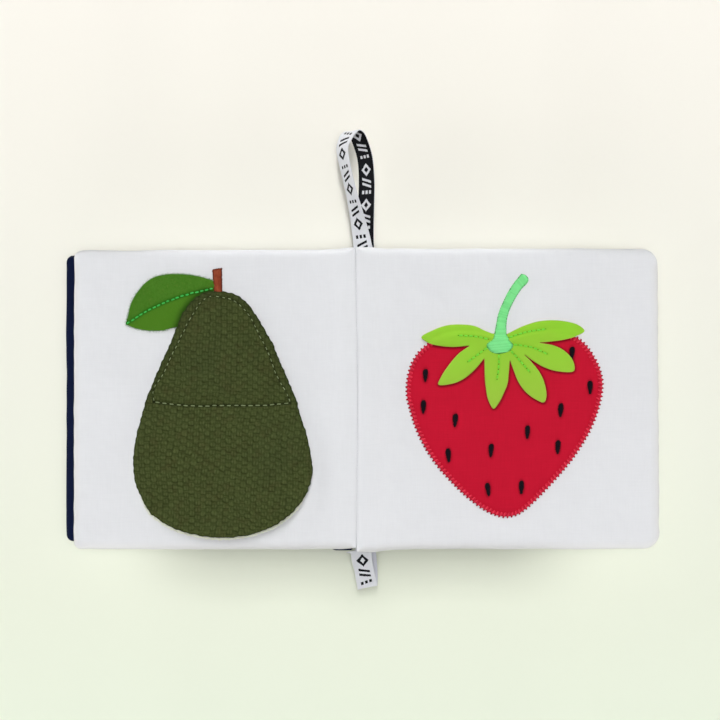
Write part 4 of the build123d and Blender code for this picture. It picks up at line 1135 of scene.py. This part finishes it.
# Zigzag edge: each stitch crosses the band and bites into the page just outside it. Painted light and shade: one red
# thread as a lit copy on one leg, a shaded copy on the other and a shadowed copy at the tips
rng = np.random.default_rng(9)
ring_ = ccw(spaced(curved(STRAWBERRY, True), 0.05, True))
out = outward(ring_)
total = len(ring_)
teeth = int(round(total * 0.05 / 2.09))
legs, tips = [], []
for k in range(teeth * 2):
    s0, s1 = k / (teeth * 2) * total, (k + 1) / (teeth * 2) * total
    a_i, b_i = int(s0) % total, int(s1) % total
    if k % 2:
        a_i, b_i = b_i, a_i
    if k % 2 == 0:
        reach_out = 0.6 + rng.normal(0, 0.06)
    outer = ring_[a_i] + out[a_i] * (reach_out if k % 2 == 0 else next_out)
    next_out = 0.6 + rng.normal(0, 0.06)
    inner_ = ring_[b_i] - out[b_i] * (2.2 + rng.normal(0, 0.13))
    for t0, t1, count, group in ((0.3, 1.0, 8, legs), (0.0, 0.37, 4, tips)):
        t = np.linspace(t0, t1, count)
        xy = outer[None, :] * (1 - t[:, None]) + inner_[None, :] * t[:, None]
        surface = page_z("right", xy[:, 0], xy[:, 1]) + 0.6 * smooth_step((t - 0.06) / 0.3) + 0.03
        lift_ = 0.24 * np.sin(np.pi * t) ** 0.5 + 0.04 * (k % 2)
        group.append(np.column_stack([xy, surface + lift_ - 0.12 - 0.02 * (count == 4)]))
v1, f1 = tubes(legs, 0.47, 0.32, 6, 2)
v2, f2 = tubes(tips, 0.31, 0.26, 6, 1)
# alternate legs get the lit and the painted-shade copies, the tips the painted-shadow copy
odd = np.arange(len(legs)) % 2
turn = [np.repeat(odd, len(f1[0]) // len(legs)), odd, odd] + [np.full(len(f), 2) for f in f2]
mesh("strawberry_edge_thread", np.vstack([v1, v2]), f1 + [f + len(v1) for f in f2], [red_thread, red_painted_shade, red_painted_shadow], BACK,
     ["strawberry_edge_stitch"], "red_thread", kinds=np.concatenate(turn))

# Seeds: short satin stitches laid across, each arched into a crowned mound
seed_half = [(0.0, 0.75), (0.07, 1.18), (0.16, 1.4), (0.3, 1.48), (0.45, 1.4), (0.6, 1.2), (0.75, 0.97), (0.88, 0.78), (1.0, 0.5)]
paths = []
for sx, sy in SEEDS:
    size = 1 + rng.normal(0, 0.03)
    lean = rng.normal(0, 0.05)
    for t in np.linspace(0.02, 0.98, 13):
        w = np.interp(t, [a for a, _ in seed_half], [b for _, b in seed_half]) * size + rng.normal(0, 0.1)
        cy = sy + 3.2 * size - t * 6.4 * size
        cx = sx + lean * (cy - sy)
        q = np.linspace(-1, 1, 9)
        px, py = cx + q * w, cy + 0.12 * q
        crown_ = 0.42 * math.sin(math.pi * min(max(t, 0.08), 0.92)) ** 0.5
        pz = page_z("right", px, py) + 0.98 + crown_ * np.sqrt(np.maximum(1 - (0.96 * q) ** 2, 0)) - 0.2
        paths.append(np.column_stack([px, py, pz]))
verts, faces = tubes(paths, 0.3, 0.26, 6, 2)
mesh("strawberry_seed_thread", verts, faces, black_thread, BACK, ["strawberry_seeds"], "black_thread")

# Calyx
inset = np.array([0.04, 0.14, 0.3, 0.52, 0.8])
share = np.array([0.42, 0.7, 0.88, 0.97, 1.0])
p = Patch(calyx_loop, (inset, share), None, pitch=0.55, low_pitch=1.6, most=0.8)
x, y = p.x(), p.y()
vein_gap = np.full(len(x), 99.0)
for vein in CALYX_VEINS:
    vein_gap = np.minimum(vein_gap, open_line_distance(p.plan, spaced(curved(vein), 0.6)))
inside_berry = within(p.plan, berry_edge)
berry_dist = nearest(p.plan, berry_edge)
signed = np.where(inside_berry, berry_dist, -berry_dist)
carry = 0.95 * smooth_step((signed + 1.5) / 3.0)         # the berry's thickness under it


def calyx_mid(x, y):
    pts = np.stack([np.ravel(x), np.ravel(y)], 1)
    inside = within(pts, berry_edge)
    dist = nearest(pts, berry_edge)
    return (0.95 * smooth_step((np.where(inside, dist, -dist) + 1.5) / 3.0)).reshape(np.shape(x))


curl = 0.35 * smooth_step((np.hypot(x - 69.5, y - 7.0) - 20) / 20)   # tips stand up a little
top = page_z("right", x, y) + carry + 0.92 + 0.3 * smooth_step(p.edge / 2.4) - 0.22 * np.exp(-(vein_gap / 0.7) ** 2) + curl
under = page_z("right", x, y) + carry + 0.06 + curl
middle = under + 0.32
z = np.where(p.side >= 0, middle + p.share * (top - middle), middle - p.share * (middle - under))
calyx = mesh("strawberry_calyx_sheet", np.stack([x, y, z], 1), p.faces, calyx_sheet, BACK, ["strawberry_calyx"], "calyx_sheet",
             vein=np.exp(-(vein_gap / 0.7) ** 2) * (p.side >= 0), cut=np.clip(1.15 - p.share * 1.2, 0, 1) * (p.side >= 0) + (p.side < 0) * 0.8)


def calyx_face(x, y):
    far = 0.35 * smooth_step((np.hypot(x - 69.5, y - 7.0) - 20) / 20)
    return page_z("right", x, y) + calyx_mid(x, y) + 0.92 + 0.3 - 0.22 + far


all_v, all_f, kinds, count = [], [], [], 0
for k, vein in enumerate(CALYX_VEINS):
    v, f = stitches(vein, 2.4, 1.7, 0.74, 0.5, calyx_face, depth=0.35, jitter=0.06, seed=20 + k)
    all_v.append(v)
    all_f += [one + count for one in f]
    kinds += [np.zeros(len(one)) for one in f]
    count += len(v)
    # painted shade for the needle holes between the stitches, as short dark-green threads
    dots = spaced(curved(vein), 2.4)
    paths_ = []
    for q in dots:
        t = np.linspace(-0.25, 0.25, 5)
        px, py = q[0] + t, q[1] + 0 * t
        paths_.append(np.column_stack([px, py, calyx_face(px, py) - 0.02 + 0 * t]))
    v, f = tubes(paths_, 0.25, 0.14, 6, 2)
    all_v.append(v)
    all_f += [one + count for one in f]
    kinds += [np.ones(len(one)) for one in f]
    count += len(v)
mesh("calyx_vein_thread", np.vstack(all_v), all_f, [lime_thread, hole_painted_shade], BACK, ["calyx_vein_stitch"], "lime_thread",
     kinds=np.concatenate(kinds))

# Stem: satin stitches laid across a padded core, with a round collar on the calyx. The core is coloured dark as painted
# shade between and around the threads
stem_loop = ccw(spaced(np.vstack([curved(BERRY_STEM[1:] + BERRY_STEM[:1])[:-1], [BERRY_STEM[0]]]), 0.3, True))


def stem_base(x, y):
    """What the embroidery lies on: the page, then the berry and the calyx."""
    x, y = np.asarray(x, float), np.asarray(y, float)
    climb = smooth_step((22.0 - y) / 8.0)
    return page_z("right", x, y) + climb * (calyx_mid(x, y) + 1.05) + 0.05


inset = np.array([0.1, 0.3, 0.6, 1.0, 1.4])
share = np.array([0.35, 0.6, 0.8, 0.94, 1.0])
p = Patch(stem_loop + outward(stem_loop) * 0.12, (inset, share), None, pitch=0.6, low_pitch=1.0, most=1.4)
x, y = p.x(), p.y()
under = stem_base(x, y) - 0.1
top = under + 0.5
middle = under + 0.1
z = np.where(p.side >= 0, middle + p.share * (top - middle), middle - p.share * (middle - under))
core_v, core_f = np.stack([x, y, z], 1), p.faces


def cut_across(c, d, loop):
    """Where a line through c along d leaves a closed outline, on both sides."""
    a, b = loop, np.roll(loop, -1, 0)
    e = b - a
    den = d[0] * e[:, 1] - d[1] * e[:, 0]
    den = np.where(np.abs(den) < 1e-9, 1e-9, den)
    w = a - c
    t = (w[:, 0] * e[:, 1] - w[:, 1] * e[:, 0]) / den
    s = (w[:, 0] * d[1] - w[:, 1] * d[0]) / den
    t = t[(s >= 0) & (s < 1)]
    return (t[t > 0].min() if (t > 0).any() else 0.0), (t[t < 0].max() if (t < 0).any() else 0.0)


paths = []
line = spaced(curved(STEM_LINE), 0.62)
for k, c in enumerate(line):
    d = line[min(k + 1, len(line) - 1)] - line[max(k - 1, 0)]
    d = np.array([-d[1], d[0]]) / np.linalg.norm(d)
    d = d + np.array([0.0, 0.05 + 0.5 * math.exp(-((c[1] - 40.6) / 4.0) ** 2) * -1.0])
    d /= np.linalg.norm(d)
    hi_, lo_ = cut_across(c, d, stem_loop)
    if hi_ - lo_ < 0.8:
        continue
    q = np.linspace(lo_ - 0.05 + rng.normal(0, 0.12), hi_ + 0.05 + rng.normal(0, 0.12), 11)
    xy = c[None, :] + d[None, :] * q[:, None]
    t = np.linspace(-1, 1, 11)
    zz = stem_base(xy[:, 0], xy[:, 1]) + 0.62 * np.sqrt(np.maximum(1 - (0.97 * t) ** 2, 0)) + rng.normal(0, 0.02)
    paths.append(np.column_stack([xy, zz]))
for cy in np.arange(10.2, 3.5, -0.62):
    c = np.array([69.2, cy])
    d = np.array([1.0, 0.10])
    d /= np.linalg.norm(d)
    hi_, lo_ = cut_across(c, d, stem_loop)
    if hi_ - lo_ < 0.8:
        continue
    q = np.linspace(lo_ + rng.normal(0, 0.07), hi_ + rng.normal(0, 0.07), 11)
    xy = c[None, :] + d[None, :] * q[:, None]
    t = np.linspace(-1, 1, 11)
    belly = 0.62 + 0.2 * math.exp(-((cy - 7) / 2.5) ** 2)
    zz = stem_base(xy[:, 0], xy[:, 1]) + belly * np.sqrt(np.maximum(1 - (0.97 * t) ** 2, 0)) + rng.normal(0, 0.02)
    paths.append(np.column_stack([xy, zz]))
tip = line[0] + (line[0] - line[2]) / np.linalg.norm(line[0] - line[2]) * 0.8
verts, faces = tubes(paths, 0.42, 0.36, 6, 2)
tone = 1 + (rng.random(len(paths)) < 0.42).astype(int)
tones = [np.repeat(tone, len(faces[0]) // len(paths)), tone, tone]
kinds = np.concatenate([np.zeros(sum(len(f) for f in core_f))] + tones)
verts = np.vstack([core_v, verts])
faces = core_f + [f + len(core_v) for f in faces]
mesh("strawberry_stem_thread", verts, faces, [mint_core_painted_shade, mint_thread, mint_deep], BACK, ["strawberry_stem"], "mint_thread",
     kinds=kinds)


# ------------------------------------------------------------------ woven tape
def motif(u, v):
    """Plain geometric figures along the tape: a lozenge, two slanted bars, three small squares. u is along the tape
    and v across, both in millimetres, v from the middle."""
    period = 18.0
    k = u % period
    lozenge = (np.abs(k - 4.2) / 3.3 + np.abs(v) / 3.1) < 1
    hollow = (np.abs(k - 4.2) / 1.5 + np.abs(v) / 1.35) < 1
    bars = np.zeros(np.shape(u), bool)
    for c in (9.6, 12.0):
        bars |= (np.abs(k - c - v * 0.34) < 0.62) & (np.abs(v) < 2.9)
    dots = np.zeros(np.shape(u), bool)
    for c in (-2.2, 0.0, 2.2):
        dots |= (np.abs(k - 15.6) < 0.8) & (np.abs(v - c) < 0.68)
    return (lozenge & ~hollow) | bars | dots


def ribbon(name, stations, node, offset, face=1, inside=None, slant=None, flare=None, step=0.26, thick=0.42):
    dense = spaced(curved([s[:3] for s in stations], each=40), step)
    raw = curved(stations, each=40)
    run = np.concatenate([[0], np.cumsum(np.linalg.norm(np.diff(raw[:, :3], axis=0), axis=1))])
    want = np.linspace(0, run[-1], len(dense))
    centre = np.stack([np.interp(want, run, raw[:, k]) for k in range(3)], 1)
    tilt = np.radians(np.interp(want, run, raw[:, 3]))
    way = np.gradient(centre, axis=0)
    way /= np.linalg.norm(way, axis=1)[:, None]
    across = np.stack([np.cos(tilt), np.zeros(len(tilt)), np.sin(tilt)], 1)
    across -= way * (across * way).sum(1)[:, None]
    across /= np.linalg.norm(across, axis=1)[:, None]
    nrm = np.cross(across, way)
    if slant:
        across = across + np.array([0.0, 1.0, 0.0]) * slant(centre)[:, None]
    v = np.linspace(-TAPE_W / 2, TAPE_W / 2, 38)
    scallop = 0.05 * np.sin(want * 2 * math.pi / 1.0)
    width = 1 + (scallop[:, None] * (np.abs(v)[None, :] > 4.7)) / 5
    cup = 0.12 * (1 - (v / 5) ** 2)                       # a slight cup across the tape
    flutter = 0.08 * np.sin(want / 5.3)[:, None] * (v / 5)[None, :]
    grid = (centre[:, None, :] + across[:, None, :] * (v[None, :] * width)[..., None]
            + nrm[:, None, :] * (cup[None, :] + flutter)[..., None])
    if flare:
        grid[:, :, 0] += flare(grid[:, :, 1], grid[:, :, 2]) * np.clip(-v / 5, 0, 1)[None, :] ** 2
    verts, _, faces, cells, sides = shell(grid, thick)
    u_c = (want[cells[:, 0]] + want[np.minimum(cells[:, 0] + 1, len(want) - 1)]) / 2 + offset
    v_c = (v[cells[:, 1]] + v[np.minimum(cells[:, 1] + 1, len(v) - 1)]) / 2
    marked = motif(u_c, v_c)
    # shell's upper side is the tape's back when the grid runs along it, so the face is on the other
    face_side = sides * side_sign(grid, nrm) * face
    kinds = np.where(face_side > 0, marked, ~marked).astype(int)
    if inside is not None:
        kinds[face_side <= 0] = inside
    kinds[sides == 0] = 0
    coords = np.zeros((len(want), len(v), 3))
    coords[..., 0] = v[None, :]
    coords[..., 1] = want[:, None]
    coords = np.vstack([coords.reshape(-1, 3)] * 2)
    obj = mesh(name, verts, faces, [tape_white, tape_black, tape_painted_shade], BACK, [node], "woven_tape", kinds=kinds, weave=coords)
    return obj, float(run[-1])


def side_sign(grid, nrm):
    du, dv = np.gradient(grid, axis=0), np.gradient(grid, axis=1)
    made = np.cross(dv, du)
    return 1.0 if float((made * nrm[:, None, :]).sum()) > 0 else -1.0


loop_piece, loop_length = ribbon("ribbon_loop_tape", LOOP, "ribbon_loop", 3.0)
def tab_flare(y, z):
    """The tab's left side is gathered in at the seam, and a pinch of it stands out just below."""
    return (1.5 * smooth_step((y + 97.2) / 0.7) - 3.4 * np.exp(-((y + 97.35) / 0.42) ** 2) * (z > 6.65)
            - 0.7 * smooth_step((-97.4 - y) / 0.8) * smooth_step((y + 108) / 8))


# the tab's folded end is cut and pressed a little on the slant
tab_piece, tab_length = ribbon("ribbon_tab_tape", TAB, "ribbon_tab", 10.0, face=-1, inside=2, flare=tab_flare,
                               slant=lambda c: 0.21 * smooth_step((-c[:, 1] - 99) / 16))
print("tape lengths", round(loop_length, 1), round(tab_length, 1))


# ------------------------------------------------------------------ floor, light and camera
def floor_material():
    s = Shader("floor_paper", rough=0.95, specular=0.1)
    y = s.split(s.place)[1]
    ramp = s.node("ShaderNodeValToRGB")
    s.put(ramp.inputs["Fac"], s.range(y, -0.2, 0.2))
    stops = [(0.0, "e8f0dd"), (0.2, "ebf0de"), (0.4, "f0f2e4"), (0.6, "f4f3e8"), (0.8, "f9f6ec"), (1.0, "fefaf1")]
    ramp.color_ramp.elements[0].position, ramp.color_ramp.elements[0].color = stops[0][0], linear(stops[0][1])
    ramp.color_ramp.elements[1].position, ramp.color_ramp.elements[1].color = stops[-1][0], linear(stops[-1][1])
    for place, code in stops[1:-1]:
        ramp.color_ramp.elements.new(place).color = linear(code)
    return s.finish(ramp.outputs["Color"])


n = 48
ang = np.arange(n) * 2 * math.pi / n
rings = [np.zeros((1, 2))] + [np.stack([np.cos(ang), np.sin(ang)], 1) * r for r in (120, 300, 500, 700, 920)]
flat_pts = np.vstack(rings)
floor_v = np.column_stack([flat_pts, np.zeros(len(flat_pts))])
i = np.arange(n)
j = (i + 1) % n
fan = np.stack([np.zeros(n, int), 1 + i, 1 + j], 1)
bands = [np.stack([1 + k * n + i, 1 + (k + 1) * n + i, 1 + (k + 1) * n + j, 1 + k * n + j], 1) for k in range(4)]
floor = mesh("floor", floor_v, [fan, np.vstack(bands)], floor_material())

# Soft studio light: an even overhead bank, a gridded key from behind the head of the book whose pool fades out
# towards both ends, its even counterparts over the ends, and three low fills.
world = bpy.data.worlds.new("studio")
bpy.context.scene.world = world
world.use_nodes = True
tree = world.node_tree
back = next(n for n in tree.nodes if n.type == "BACKGROUND")
back.inputs["Color"].default_value = (0.97, 0.975, 0.955, 1)
way = tree.nodes.new("ShaderNodeTexCoord")
up = tree.nodes.new("ShaderNodeSeparateXYZ")
tree.links.new(way.outputs["Generated"], up.inputs[0])
fade = tree.nodes.new("ShaderNodeMapRange")
fade.interpolation_type = "SMOOTHSTEP"
for key, number in (("From Min", 0.17), ("From Max", 0.34), ("To Min", 0.92), ("To Max", 0.12)):
    fade.inputs[key].default_value = number
tree.links.new(up.outputs[2], fade.inputs["Value"])
tree.links.new(fade.outputs[0], back.inputs["Strength"])


def bank(name, place, toward, size, power, spread=180.0, colour=(1, 1, 1)):
    data = bpy.data.lights.new(name, "AREA")
    data.shape = "RECTANGLE"
    data.size, data.size_y = size
    data.energy = power
    data.color = colour
    data.spread = math.radians(spread)
    obj = bpy.data.objects.new(name, data)
    obj.location = place
    obj.rotation_mode = "QUATERNION"
    obj.rotation_quaternion = Vector(toward).to_track_quat("-Z", "Y")
    bpy.context.scene.collection.objects.link(obj)
    obj.visible_camera = False
    return obj


def beam(name, x0, x1, reach, share, spread=3.4, long=1.9, away=1.25, colour=(1, 1, 1)):
    """A nearly parallel strip of light from x0 to x1. reach is how far the book's edge casts its shadow, all in mm,
    and share is what it gives a level surface."""
    rise = math.atan2(18.0, reach)
    toward = Vector((0, -math.cos(rise), -math.sin(rise)))
    place = Vector(((x0 + x1) / 2 * MM, -0.02, 0.018)) - toward * away
    wide = (x1 - x0) * MM
    return bank(name, place, toward, (wide, long * math.sin(rise)), math.pi * share * wide * long, spread, colour=colour)


KEY = 0.37
for k, reach in enumerate((9, 13, 18, 23, 30)):
    beam("key_%d" % k, -100, 96, reach, KEY / 5)
beam("end_left", -1300, -100, 0.01, KEY)
beam("end_right", 96, 1296, 0.01, KEY)
bank("overhead", (0, 0, 1.5), (0, 0, -1), (2.8, 2.8), math.pi * 0.395 * 2.8 * 2.8, spread=60)

def fill(name, place, share, size=(0.9, 0.35)):
    """A low side light. share is what it gives a surface that faces it."""
    reach = Vector(place).length
    return bank(name, place, -Vector(place), size, math.pi ** 2 * reach ** 2 * share)


fill("fill_foot", (0, -1.0, 0.17), 0.22)
fill("fill_left", (-1.05, 0, 0.18), 0.20)
fill("fill_right", (1.05, 0, 0.18), 0.12)

camera = bpy.data.objects.new("camera", bpy.data.cameras.new("camera"))
bpy.context.scene.collection.objects.link(camera)
camera.location = (-0.00055, 0.0, 0.818)
camera.rotation_euler = (0, 0, 0)
camera.data.lens = 80
camera.data.sensor_width = 36
camera.data.clip_start = 0.01
bpy.context.scene.camera = camera
bpy.context.scene.view_settings.view_transform = "Standard"
